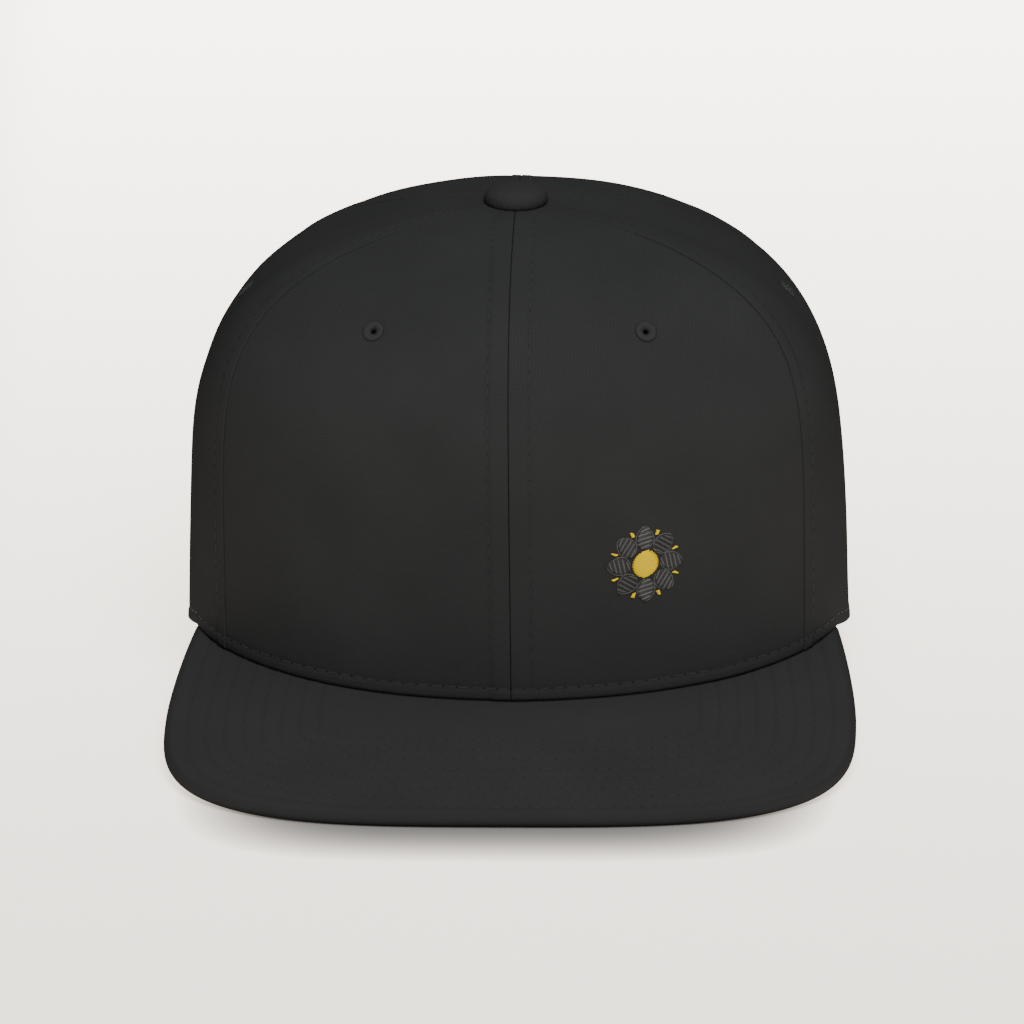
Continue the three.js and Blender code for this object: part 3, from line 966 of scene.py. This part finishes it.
stitch_faces = [list(face.vertices) for face in stitch.data.polygons]
bpy.data.objects.remove(stitch)
print("One stitch has", len(stitch_faces), "faces and is", np.ptp(stitch_points[:, 0]).round(3), "units long")

# %% Lay rows of stitches
THREAD_FLATNESS = 0.8


def along_path(values, run, at):
    """A path's points, or its normals, at some metres along it."""
    return np.stack([np.interp(at, run, values[:, k]) for k in range(3)], -1)


def lay_stitches(rows, length=0.0031, width=0.00042, pitch=PITCH, sink=0.00014):
    """One set of points and faces for stitches along every (path, out) of rows. Without a pitch each
    path gets one stitch, and without a length that stitch is as long as its path."""
    all_points, all_faces, base = [], [], 0
    arch = 1 - (2 * stitch_points[:, 0]) ** 2
    for path, out in rows:
        run = run_along(path)
        places = (np.arange(int(run[-1] / pitch)) + 0.5) * pitch if pitch else [run[-1] / 2]
        for middle in places:
            at = middle + stitch_points[:, 0] * (length or run[-1])
            lift = along_path(out, run, at)
            ahead = along_path(path, run, middle + 0.0003) - along_path(path, run, middle - 0.0003)
            side = np.cross(lift, ahead)
            side /= np.linalg.norm(side, axis=-1, keepdims=True)
            rise = stitch_points[:, 2] * width * THREAD_FLATNESS - sink + arch * sink
            beside = side * (stitch_points[:, 1] * width)[:, None]
            all_points.append(along_path(path, run, at) + beside + lift * rise[:, None])
            all_faces += [[k + base for k in face] for face in stitch_faces]
            base += len(stitch_points)
    return np.concatenate(all_points), all_faces


def thread_piece(name, rows, material, *nodes, **sizes):
    points, faces = lay_stitches(rows, **sizes)
    mesh = bpy.data.meshes.new(name)
    mesh.from_pydata(points.tolist(), [], faces)
    piece = bpy.data.objects.new(name, mesh)
    bpy.context.scene.collection.objects.link(piece)
    face_out(piece)
    finish_piece(piece, material, "thread", *nodes, sharp=80)

# %% [markdown]
# ## Topstitching of the crown
# Each seam has a row of stitches on both sides, the rim and the rear arch have one row each, and in the
# seam's own valley the joining thread shows as small bars.

# %% Seam rows
FIRST_STITCH = 2
ABOVE_ARCH = ARCH_TOP + 0.045


def meridian(seam, sign):
    """The path of a seam's row, from a whole stitch above the rim or the arch to the button."""
    angle, h, run = seam_row(seam, sign)
    start = math.ceil(np.interp(ABOVE_ARCH, h, run) / PITCH) if seam == 3 else FIRST_STITCH
    fine = np.linspace(start * PITCH, run[-1], 900)
    angle, h = np.interp(fine, run, angle), np.interp(fine, run, h)
    return sewn_point(angle, h), crown_normal(angle, h)


rows = []
for seam in range(-2, 4):
    for sign in (-1, 1):
        if seam * sign != -1:
            rows.append(meridian(seam, sign))
thread_piece("thread_seam_rows", rows, seam_thread, width=0.00030)

joins = []
for seam in range(-2, 4):
    h = climb_to_button(ARCH_TOP + 0.01 if seam == 3 else 0.0)
    angle = np.full_like(h, seam * PANEL_STEP)
    joins.append((sewn_point(angle, h, -0.00042), crown_normal(angle, h)))
thread_piece("thread_seam_joins", joins, rim_thread, length=0.0011, width=0.0005, sink=0.0001)

# %% Rim row and arch row
opening = float(arch_angle(np.array(0.0)))
last_stitch = int(rim_beat(opening) - 1.5)
rim_rows = []
for side in (-1, 1):
    fine = np.linspace(0, last_stitch * PITCH, 1800)
    angle = np.interp(fine, rim_run, rim_angles) * side
    h = RIM_ROW / (CROWN_TOP - rim_height(angle))
    rim_rows.append((sewn_point(angle, h), crown_normal(angle, h)))
thread_piece("thread_rim_row", rim_rows, seam_thread, width=0.00040)

edge = arch_line()
edge_xyz = crown_point(edge[:, 0], edge[:, 1], 0)
edge_out = crown_normal(edge[:, 0], edge[:, 1])
arch_row = edge_xyz + np.cross(heading(edge_xyz), edge_out) * -ARCH_ROW + edge_out * 0.00014
thread_piece("thread_arch_row", [(arch_row[8:-8], edge_out[8:-8])], seam_thread, width=0.00040)

# %% [markdown]
# ## Visor
# A stiff board between two layers of cloth. The sheet is laid over the top, round the edge and back
# under the board; its two inner borders are then bridged under the crown and the tips are closed. Rows
# of stitches run beside the outer edge, 5 mm apart, and the cloth swells a little between them.

# %% Visor
VISOR_COLUMNS = 230
VISOR_FACE_ROWS = 76
VISOR_EDGE_ROWS = 9
EDGE_SHARE = 0.06
VISOR_ROWS = [0.0062 + VISOR_ROW_STEP * k for k in range(8)]
BEAD_RISE, BEAD_AWAY, BEAD_REACH = 0.00014, 0.0026, 0.0013
RIM_SWELL = 0.00015
ROW_DIP, ROW_DIP_REACH = 0.00005, 0.0007
RIPPLE = 0.00010
EVEN_STEP = 0.0006
CROWN_CLEARANCE = 0.0012
outline = visor_edge(np.linspace(-1, 1, 1600))


def compass(plan):
    """The direction of points in plan, counted from the front."""
    return np.arctan2(plan[:, 0], -plan[:, 1])


def visor_row(depth):
    """A row's path in plan. It runs beside the outline, with its corners eased as a sewer would."""
    ahead = heading(outline)
    line = outline + depth * np.stack([-ahead[:, 1], ahead[:, 0]], -1)
    _, gap = along_line(line, outline)
    rim = rim_inset(np.linspace(-math.pi / 2, math.pi / 2, 900), -CROWN_CLEARANCE)
    reach = np.interp(compass(line), compass(rim), np.linalg.norm(rim, axis=-1))
    line = line[(gap > depth * 0.995) & (np.linalg.norm(line, axis=-1) > reach)]
    run = run_along(line)
    even = np.linspace(0, run[-1], int(run[-1] / EVEN_STEP))
    line = np.stack([np.interp(even, run, line[:, k]) for k in range(2)], -1)
    window = int(0.25 * depth / EVEN_STEP) | 1
    before = line[:1] * 2 - line[window // 2:0:-1]
    after = line[-1:] * 2 - line[-2:-window // 2 - 1:-1]
    summed = np.cumsum(np.concatenate([np.zeros((1, 2)), before, line, after]), axis=0)
    return (summed[window:] - summed[:-window]) / window


def on_visor(line):
    return np.column_stack([line, visor_top(line)])


visor_lines = [visor_row(depth) for depth in VISOR_ROWS]


def visor_rows_near(plan):
    """Stitches along the nearest row, rows counted from the outline inwards, and metres beside the row."""
    found = [along_line(on_visor(plan), on_visor(line)) for line in visor_lines]
    runs = np.array([run for run, _ in found])
    gaps = np.array([gap for _, gap in found])
    last = len(found) - 1
    nearest, index = gaps.argmin(0), np.arange(len(plan))
    beside = gaps[nearest, index]
    outer = gaps[np.maximum(nearest - 1, 0), index]
    outer[nearest == 0] = 2 * VISOR_ROW_STEP - gaps[1, index][nearest == 0]
    inner = gaps[np.minimum(nearest + 1, last), index]
    inner[nearest == last] = 2 * VISOR_ROW_STEP - gaps[last - 1, index][nearest == last]
    share = np.clip(beside / (beside + np.minimum(outer, inner).clip(1e-6)), 0, 0.5)
    return runs[nearest, index] / PITCH, nearest + np.where(inner < outer, share, -share), beside


def visor_relief(away, beside):
    """Height of the cloth over the board: a soft bead at its edge, and a dip at each row."""
    relief = BEAD_RISE * bell(away - BEAD_AWAY, BEAD_REACH)
    relief += RIM_SWELL * (1 - smooth(0.0045, 0.0060, away))
    return relief - ROW_DIP * bell(beside, ROW_DIP_REACH)


def visor_ripple(plan, away):
    """Cloth glued to a board by hand is never quite even."""
    wave = np.sin(plan[..., 0] / 0.013 + 1) * np.sin(plan[..., 1] / 0.011)
    return RIPPLE * wave * smooth(0.004, 0.02, away)


def visor_spot(share, turn):
    """turn runs from -1 at the underside's inner border over 0 at the outline to 1 at the top's."""
    inner = rim_inset(share * VISOR_TIP, WALL)
    outer = visor_edge(share)
    width = np.linalg.norm(outer - inner, axis=-1)
    s = np.abs(turn)
    bend = np.clip(s / EDGE_SHARE, 0, 1) * math.pi / 2
    run = np.clip((s - EDGE_SHARE) / (1 - EDGE_SHARE), 0, 1)
    inset = np.where(s < EDGE_SHARE, ROUND * (1 - np.cos(bend)), ROUND + (width - ROUND) * run)
    plan = outer + (inner - outer) * (inset / width)[..., None]
    return plan, np.sin(bend) * np.sign(turn)


def visor_turns():
    edge = np.linspace(-EDGE_SHARE, EDGE_SHARE, 2 * VISOR_EDGE_ROWS + 1)
    face = np.linspace(EDGE_SHARE, 1, VISOR_FACE_ROWS + 1)[1:]
    return np.concatenate([-face[::-1], edge, face])


turns = visor_turns()
visor = flat_sheet("visor_covered", VISOR_COLUMNS, len(turns) - 1)
flat = points_of(visor)
turn = np.interp(flat[:, 1], np.linspace(0, 1, len(turns)), turns)
plan, rise = visor_spot(flat[:, 0] * 2 - 1, turn)
_, away = along_line(plan, outline)
beat, row_count, beside = visor_rows_near(plan)
relief = visor_relief(away, beside) * smooth(0.5, 1, rise)
z = visor_top(plan) - ROUND + rise * ROUND + relief
z += visor_ripple(plan, away) * (rise > 0)
move_points(visor, np.stack([plan[:, 0], plan[:, 1] + BUTTON_Y, z], -1))
note_weave(visor, plan[:, 0], plan[:, 1] + z, math.radians(20))
note(visor, "row", beat, row_count, away)

pick(visor)
bpy.ops.object.mode_set(mode="EDIT")
bpy.ops.mesh.select_mode(type="EDGE")
bpy.ops.mesh.select_all(action="DESELECT")
bpy.ops.object.mode_set(mode="OBJECT")
top_border = flat[:, 1] > 0.9999
under_border = flat[:, 1] < 0.0001
for edge in visor.data.edges:
    a, b = edge.vertices
    edge.select = bool((top_border[a] and top_border[b]) or (under_border[a] and under_border[b]))
bpy.ops.object.mode_set(mode="EDIT")
bpy.ops.mesh.bridge_edge_loops()
bpy.ops.mesh.select_all(action="SELECT")
bpy.ops.mesh.fill_holes(sides=0)
bpy.ops.object.mode_set(mode="OBJECT")
face_out(visor)
finish_piece(visor, visor_cloth, "visor_cloth", "visor")

# %% Stitch rows of the visor
def visor_rise(line, step):
    """How much the visor's top rises for each metre that way."""
    return (visor_top(line + step) - visor_top(line - step)) / (2 * np.linalg.norm(step))


over, under = [], []
for depth, line in zip(VISOR_ROWS, visor_lines):
    rise_x = visor_rise(line, np.array([0.0005, 0]))
    rise_y = visor_rise(line, np.array([0, 0.0005]))
    out = np.stack([-rise_x, -rise_y, np.ones(len(line))], -1)
    out /= np.linalg.norm(out, axis=-1, keepdims=True)
    board = on_visor(line) + [0, BUTTON_Y, 0]
    dip = visor_ripple(line, depth) - 0.00004
    over.append((board + out * dip[:, None], out))
    under.append((board - out * (VISOR_THICKNESS - 0.00002), -out))
thread_piece("thread_visor_top", over, seam_thread, width=0.00030)
thread_piece("thread_visor_under", under, seam_thread, width=0.00034)

# %% [markdown]
# ## Button
# A metal dome covered with the crown's cloth. A circle is extruded and scaled up in rings, as a
# potter would raise it, and the last ring is closed. The cover is gathered underneath, which leaves
# small folds round its lower edge.

# %% Button
GATHERS = 26
GATHER_DEPTH = 0.00010
BUTTON_RINGS = [
    (0.0070, -0.0006),
    (0.0080, -0.0005),
    (0.0086, -0.0001),
    (0.0088, 0.0007),
    (0.0087, 0.0016),
    (0.0082, 0.0027),
    (0.0073, 0.0035),
    (0.0060, 0.0041),
    (0.0044, 0.0045),
    (0.0026, 0.00475),
    (0.0010, 0.00485),
]
deselect_all()
first_radius, first_rise = BUTTON_RINGS[0]
bpy.ops.mesh.primitive_circle_add(vertices=96, radius=first_radius, fill_type="NGON",
                                  location=(0, BUTTON_Y, CROWN_TOP + first_rise))
button = settle("button_cover")
bpy.ops.object.mode_set(mode="EDIT")
bpy.ops.mesh.select_mode(type="FACE")
bpy.ops.mesh.select_all(action="SELECT")
for (radius, rise), (wider, higher) in zip(BUTTON_RINGS, BUTTON_RINGS[1:]):
    bpy.ops.mesh.extrude_region_move(TRANSFORM_OT_translate={"value": (0, 0, higher - rise)})
    scale = wider / radius
    bpy.ops.transform.resize(value=(scale, scale, 1), center_override=(0, BUTTON_Y, CROWN_TOP + higher))
bpy.ops.object.mode_set(mode="OBJECT")
points = points_of(button)
flat = points[:, :2] - [0, BUTTON_Y]
r = np.linalg.norm(flat, axis=-1)
turn = np.arctan2(flat[:, 1], flat[:, 0])
gather = bell(points[:, 2] - CROWN_TOP - 0.0003, 0.0010)
fold = GATHER_DEPTH * gather * np.sin(GATHERS * turn + 2 * np.sin(3 * turn))
points[:, :2] += flat / np.maximum(r, 1e-6)[:, None] * fold[:, None]
move_points(button, points)
curve = button.modifiers.new("round", "SUBSURF")
curve.levels = curve.render_levels = 1
pick(button)
bpy.ops.object.modifier_apply(modifier="round")
points = points_of(button)
note_weave(button, points[:, 0], points[:, 1] - BUTTON_Y, math.radians(-45))
face_out(button)
finish_piece(button, button_twill, "twill", "button", sharp=80)

# %% [markdown]
# ## Eyelets
# Each air hole is sewn round with thread, side by side, so the ring looks like a small wheel of
# spokes. One spoke is the stitch pattern again, laid from the outer edge of the ring over its crest
# and down into the hole.

# %% Eyelets
def eyelet_rows(angle, height, spokes=30):
    centre = crown_point(angle, height)
    out = crown_normal(angle, height)
    side = np.cross([0, 0, 1.0], out)
    side /= np.linalg.norm(side)
    rise = np.cross(out, side)
    rows = []
    for k in range(spokes):
        a = 2 * math.pi * k / spokes + 0.05 * math.sin(5 * k)
        spoke = side * math.cos(a) + rise * math.sin(a)
        t = np.linspace(0, 1, 24)
        reach = 0.0033 + 0.00015 * math.sin(7.3 * k)
        r = reach + (0.00045 - reach) * t
        crest = 0.00050 * np.sin(np.clip(t * 1.1, 0, 1) * math.pi) ** 0.7
        lift = crest - 0.00052 - 0.0009 * smooth(0.72, 1, t)
        path = centre + spoke[None] * r[:, None] + out[None] * lift[:, None]
        ahead = np.gradient(path, axis=0)
        normal = np.cross(np.cross(ahead, out), ahead)
        normal /= np.linalg.norm(normal, axis=-1, keepdims=True)
        rows.append((path, normal))
    return rows


def ring(name, major, minor, steps, centre, out):
    deselect_all()
    bpy.ops.mesh.primitive_torus_add(major_radius=major, minor_radius=minor, major_segments=steps,
                                     minor_segments=10, location=centre, rotation=turned_to(out))
    return settle(name)


def eyelet_core(name, angle, height):
    """The padded ring under the spokes, so that no gap shows between them."""
    centre, out = crown_point(angle, height), crown_normal(angle, height)
    core = ring(name, 0.0021, 0.00085, 32, centre - out * 0.0007, out)
    points = points_of(core)
    move_points(core, points - np.outer((points - centre) @ out * 0.45, out))
    finish_piece(core, eyelet_thread, "thread", sharp=80)


for place, (degrees, height) in EYELETS.items():
    for side, label in ((-1, "left"), (1, "right")):
        angle = math.radians(degrees) * side
        eyelet_core(f"eyelet_core_{place}_{label}", angle, height)
        thread_piece(f"eyelet_thread_{place}_{label}", eyelet_rows(angle, height), eyelet_thread,
                     f"eyelet_{place}_{label}", pitch=None, length=0.0029, width=0.00048, sink=0.0)

# %% [markdown]
# ## Sweatband
# A folded strip of soft cotton inside the rim, open at the back. It is a sheet laid a little inside
# the crown, with a row of stitches near its upper edge.

# %% Sweatband
BAND_THICK = 0.0015
BAND_DEPTH = WALL + GAP
BAND_LOW = 0.005
BAND_HIGH = 0.24
BAND_STITCHED = 0.86
BAND_SHORT = 0.016
band_end = opening - BAND_SHORT / float(girth(np.array(opening), np.array(0.0)))


def under_crown_by(depth):
    """A skin that lies on the crown's form, so deep inside it."""
    def skin(spot):
        return crown_point(spot[:, 0], spot[:, 1]) - crown_normal(spot[:, 0], spot[:, 1]) * depth
    return skin


band = flat_sheet("sweatband_cloth", 260, 26)
flat = points_of(band)
angle = (flat[:, 0] * 2 - 1) * band_end
h = BAND_LOW + (BAND_HIGH - BAND_LOW) * flat[:, 1]
note(band, "place", angle, h)
wave = 0.00012 * np.sin(angle * 23 + 3 * np.sin(angle * 5)) * smooth(0.2, 1, flat[:, 1])
inner = BAND_DEPTH + BAND_THICK - 0.0002 + wave - 0.0006 * smooth(0.94, 1, flat[:, 1])
inner -= 0.0005 * (1 - smooth(0, 0.05, flat[:, 1]))
inner -= 0.0003 * bell(flat[:, 1] - BAND_STITCHED, 0.02)
move_points(band, crown_point(angle, h) - crown_normal(angle, h) * inner[:, None])
run = angle * 0.085
note(band, "weave", run * 0.6 + h * 0.1, h * 0.1 - run * 0.6)
band_area = cloth_area(band)
thicken(band, under_crown_by(BAND_DEPTH + 0.0001))
finish_piece(band, band_cloth, "band_cloth", "sweatband")
around = np.linspace(-band_end * 0.985, band_end * 0.985, 2200)
h = np.full_like(around, BAND_LOW + (BAND_HIGH - BAND_LOW) * BAND_STITCHED)
out = -crown_normal(around, h)
band_row = crown_point(around, h) + out * (BAND_DEPTH + BAND_THICK - 0.0004)
thread_piece("thread_band_row", [(band_row, out)], seam_thread, pitch=0.0036, length=0.0026, width=0.00040)
band_length = float(run_along(band_row)[-1]) / 0.985
print_cut(band_length, band_area / band_length)

# %% [markdown]
# ## Seam tapes inside the crown
# The raw edges inside are covered with tapes that run from the band to the button, where a small
# disc holds the button's rivet.

# %% Tapes
TAPE_WIDTH = 0.0124


TAPE_SPAN = 0.05
TAPE_END = 0.09


def tape(seam):
    sheet = flat_sheet(f"tape_{seam + 2}", 8, 70)
    across, upward, _ = points_of(sheet).T
    start = BAND_HIGH - 0.02 if seam != 3 else ARCH_TOP + 0.012
    q = math.sqrt(1 - start) + (TAPE_END - math.sqrt(1 - start)) * upward
    h = 1 - q**2
    middle = np.full_like(h, seam * PANEL_STEP)
    span = crown_point(middle + TAPE_SPAN, h, 0) - crown_point(middle - TAPE_SPAN, h, 0)
    wide = np.linalg.norm(span, axis=-1) / (2 * TAPE_SPAN)
    half = np.minimum(TAPE_WIDTH / 2 / wide, 0.46 * PANEL_STEP)
    angle = middle + (across * 2 - 1) * half
    note(sheet, "place", angle, h)
    swell = 0.0006 + 0.0003 * np.sin(math.pi * across)
    move_points(sheet, crown_point(angle, h) - crown_normal(angle, h) * (WALL + swell)[:, None])
    note(sheet, "weave", (angle - middle) * wide, q * 0.16)
    levels = climb_to_button(start, TAPE_END, 200)
    length = float(run_along(crown_point(np.full_like(levels, seam * PANEL_STEP), levels, 0))[-1])
    thicken(sheet, under_crown_by(WALL - 0.0002))
    finish_piece(sheet, band_cloth, "band_cloth")
    print_cut(TAPE_WIDTH, length)


for seam in range(-2, 4):
    tape(seam)

# %% The disc under the button
def soft_disc(name, radius, thick, centre, out, steps, softness):
    """A short cylinder with rounded rims, its axis along out."""
    deselect_all()
    bpy.ops.mesh.primitive_cylinder_add(vertices=steps, radius=radius, depth=thick, location=centre,
                                        rotation=turned_to(out))
    made = settle(name)
    soften = made.modifiers.new("soft", "BEVEL")
    soften.width = softness
    soften.segments = 3
    bpy.ops.object.modifier_apply(modifier="soft")
    return made


disc = soft_disc("button_back", 0.0085, 0.0010, (0, BUTTON_Y, CROWN_TOP - 0.0035), (0, 0, 1), 48, 0.0004)
note(disc, "weave", *points_of(disc).T)
finish_piece(disc, band_cloth, "band_cloth", sharp=40)

# %% [markdown]
# ## Snap strap
# Two moulded halves: one carries round studs, the other lies over it and snaps onto them. Each half is
# a sheet laid on the crown's curve behind the rear opening, with rounded ends and a raised border.

# %% Strap
STRAP_LOW = 0.001
STRAP_TALL = 0.020
STRAP_THICK = 0.0015
STRAP_REACH = 0.053
CORNER = 0.006
BORDER_RISE = 0.00025
STUD_STEP = 0.009
back_girth = float(girth(np.array(math.pi - 0.02), np.array(0.0)))


def strap_depth(x, outer):
    """How deep the strap's outer face lies: the half on top steps outwards over the other."""
    if not outer:
        return np.full_like(x, BAND_DEPTH + 0.00005)
    return BAND_DEPTH - 0.0016 * smooth(-0.034, -0.0265, x)


def strap_half(name, start, end, outer):
    sheet = flat_sheet(name, 130, 30)
    along, upward, _ = points_of(sheet).T
    x = start + (end - start) * along
    near = np.abs((end if outer else start) - x)
    rounding = CORNER - np.sqrt(np.clip(CORNER**2 - (CORNER - near) ** 2, 0, None))
    half = STRAP_TALL / 2 - np.where(near < CORNER, rounding, 0)
    up_share = upward * 2 - 1
    h = (STRAP_LOW + STRAP_TALL / 2 + up_share * half) / CROWN_TOP
    edge = np.minimum(half * (1 - np.abs(up_share)), near)
    border = BORDER_RISE * (1 - smooth(0.0012, 0.0020, edge))
    angle = math.pi + x / back_girth
    note(sheet, "place", angle, h, x)
    depth = strap_depth(x, outer) - border
    move_points(sheet, crown_point(angle, h, 0) - crown_normal(angle, h) * depth[:, None])

    def inside(spot):
        deep = strap_depth(spot[:, 2], outer) + STRAP_THICK
        return crown_point(spot[:, 0], spot[:, 1], 0) - crown_normal(spot[:, 0], spot[:, 1]) * deep[:, None]

    thicken(sheet, inside)
    return sheet


moulded = Finish("strap_plastic", Roughness=0.5, Specular_IOR_Level=0.14)
grain = moulded.noise(1800, 3)
wear = moulded.noise(60, 3)
moulded.feed("Base Color", moulded.blend(wear * 0.7 + grain * 0.3, grey(0.006), grey(0.011)))
moulded.feed("Roughness", 0.40 + wear * 0.16 + grain * 0.08)
moulded.carve(grain, 0.35, 0.00006)

under_half = strap_half("strap_studded_half", -0.024, STRAP_REACH, False)
finish_piece(under_half, moulded.material, "strap_plastic", sharp=35)
over_half = strap_half("strap_socket_half", -STRAP_REACH, 0.026, True)
finish_piece(over_half, moulded.material, "strap_plastic", "snap_strap", sharp=35)

# %% Studs and sockets
def on_strap(x, depth):
    """A place on the strap's middle line, and the way out from it."""
    angle = np.array(math.pi + x / back_girth)
    height = np.array((STRAP_LOW + STRAP_TALL / 2) / CROWN_TOP)
    out = crown_normal(angle, height)
    return crown_point(angle, height, 0) - out * depth, out


def stud(name, x, depth, rise=0.0011):
    """A round stud that stands out by its rise and is rooted 1 mm deep."""
    spot, out = on_strap(x, depth)
    made = soft_disc(name, 0.0021, rise + MM, spot + out * (rise - MM) / 2, out, 28, 0.0005)
    finish_piece(made, moulded.material, "strap_plastic", sharp=35)


def socket(name, x, depth):
    made = ring(name, 0.0030, 0.0006, 36, *on_strap(x, depth))
    finish_piece(made, moulded.material, "strap_plastic", sharp=60)


for k in range(5):
    stud(f"strap_stud_{k}", (k - 2) * STUD_STEP, 0.0007)
    socket(f"strap_socket_{k}", (k - 2) * STUD_STEP, 0.00075)
for k in range(2):
    stud(f"strap_free_stud_{k}", 0.0355 + STUD_STEP * k, BAND_DEPTH, rise=0.0009)

# %% [markdown]
# ## A small sewn badge
# The right front panel carries a small piece of embroidery: a plain rosette with eight petals of
# charcoal thread round a domed yellow centre. Satin stitches lie side by side across each petal, every
# third one higher and in a paler charcoal that is painted highlight of the satin's sheen, a fine outline
# in the same paler thread runs round it, and small knots sit between the petals.

# %% Badge
BADGE_ANGLE = math.radians(23.8)
BADGE_HEIGHT = 0.315
PETALS = 8
PETAL_START = 4.3
PETAL_LENGTH = 6.4
PETAL_WIDTH = 2.45
PETAL_THREADS = 16
SLANT = 0.45
KNOT_REACH = 9.3
HEART_RADIUS = 3.7
HEART_THREADS = 17


def badge_point(x, y, lift):
    """From millimetres on the badge to the crown, x to the right and y up."""
    x, y = np.asarray(x, float) * MM, np.asarray(y, float) * MM
    base = np.full_like(x, BADGE_ANGLE)
    wide = girth(base, np.full_like(x, BADGE_HEIGHT))
    angle = base + x / wide
    h = BADGE_HEIGHT + y / (CROWN_TOP - rim_height(base))
    return crown_point(angle, h) + crown_normal(angle, h) * lift, crown_normal(angle, h)


def satin(pairs, lift, dome=0.0):
    """A stitch for each pair of ends, in badge millimetres, domed over its middle if wished."""
    rows = []
    longest = max(math.dist(a, b) for a, b in pairs)
    for a, b in pairs:
        t = np.linspace(0, 1, 16)
        x, y = a[0] + (b[0] - a[0]) * t, a[1] + (b[1] - a[1]) * t
        high = lift + dome * np.sin(math.pi * t) * math.dist(a, b) / longest
        rows.append(badge_point(x, y, high[:, None] * MM))
    return rows


def petal_half(share):
    return PETAL_WIDTH * math.sin(math.pi * share**0.85) ** 0.7


def petal_spot(turn, reach, across):
    s, c = math.sin(turn), math.cos(turn)
    return (reach * s + across * c, reach * c - across * s)


def petal_pairs(turn):
    pairs = []
    for k in range(PETAL_THREADS):
        share = (k + 0.5) / PETAL_THREADS
        reach = PETAL_START + PETAL_LENGTH * share
        half = petal_half(share)
        pairs.append((petal_spot(turn, reach - SLANT, -half), petal_spot(turn, reach + SLANT, half)))
    return pairs


def petal_outline(turn, count=13):
    """Short stitches round a petal, end to end."""
    shares = [k / count for k in range(count + 1)]
    ends = []
    for way in (1, -1):
        reach = [PETAL_START + PETAL_LENGTH * t for t in shares]
        side = [petal_spot(turn, r, way * (petal_half(t) + 0.12)) for r, t in zip(reach, shares)]
        ends += zip(side, side[1:])
    return ends


def badge_piece(name, rows, material, width):
    thread_piece(name, rows, material, pitch=None, length=None, width=width, sink=-0.0001)


charcoal_dark = sewing("badge_charcoal_dark", grey(0.004), grey(0.014), roughness=0.45, shine=0.4)
# Painted highlight: the paler charcoal is a lit copy of the thread, standing in for the satin's sheen.
charcoal_pale_and_highlight = sewing("badge_charcoal_light", grey(0.030), grey(0.085), roughness=0.42, shine=0.5)
yellow = sewing("badge_yellow", (0.46, 0.29, 0.0, 1), (0.74, 0.54, 0.0, 1), roughness=0.6, shine=0.1)

# %% Sew the badge
low_threads, high_threads, outlines, knots, heart = [], [], [], [], []
for k in range(PETALS):
    turn = k * 2 * math.pi / PETALS
    for number, pair in enumerate(petal_pairs(turn)):
        (high_threads if number % 3 == 1 else low_threads).append(pair)
    outlines += petal_outline(turn)
    for lean in (-0.45, 0.0, 0.45):
        x, y = petal_spot(turn + math.pi / PETALS, KNOT_REACH + lean, 0)
        knots.append(((x - 0.5, y + lean * 0.3), (x + 0.5, y - lean * 0.3)))
for k in range(HEART_THREADS):
    y = (k - HEART_THREADS // 2) * HEART_RADIUS / 8.4
    half = math.sqrt(HEART_RADIUS**2 - y * y)
    heart.append(((-half, y - 0.25), (half, y + 0.25)))
# The high satin threads carry the painted highlight; the outline is sewn in the same paler charcoal.
badge_piece("badge_petals_low", satin(low_threads, 0.12, 0.10), charcoal_dark, 0.00046)
badge_piece("badge_petals_high", satin(high_threads, 0.20, 0.12), charcoal_pale_and_highlight, 0.00038)
badge_piece("badge_outline", satin(outlines, 0.10), charcoal_pale_and_highlight, 0.00026)
badge_piece("badge_knots", satin(knots, 0.10, 0.25), yellow, 0.00046)
badge_piece("badge_heart", satin(heart, 0.15, 0.55), yellow, 0.00050)
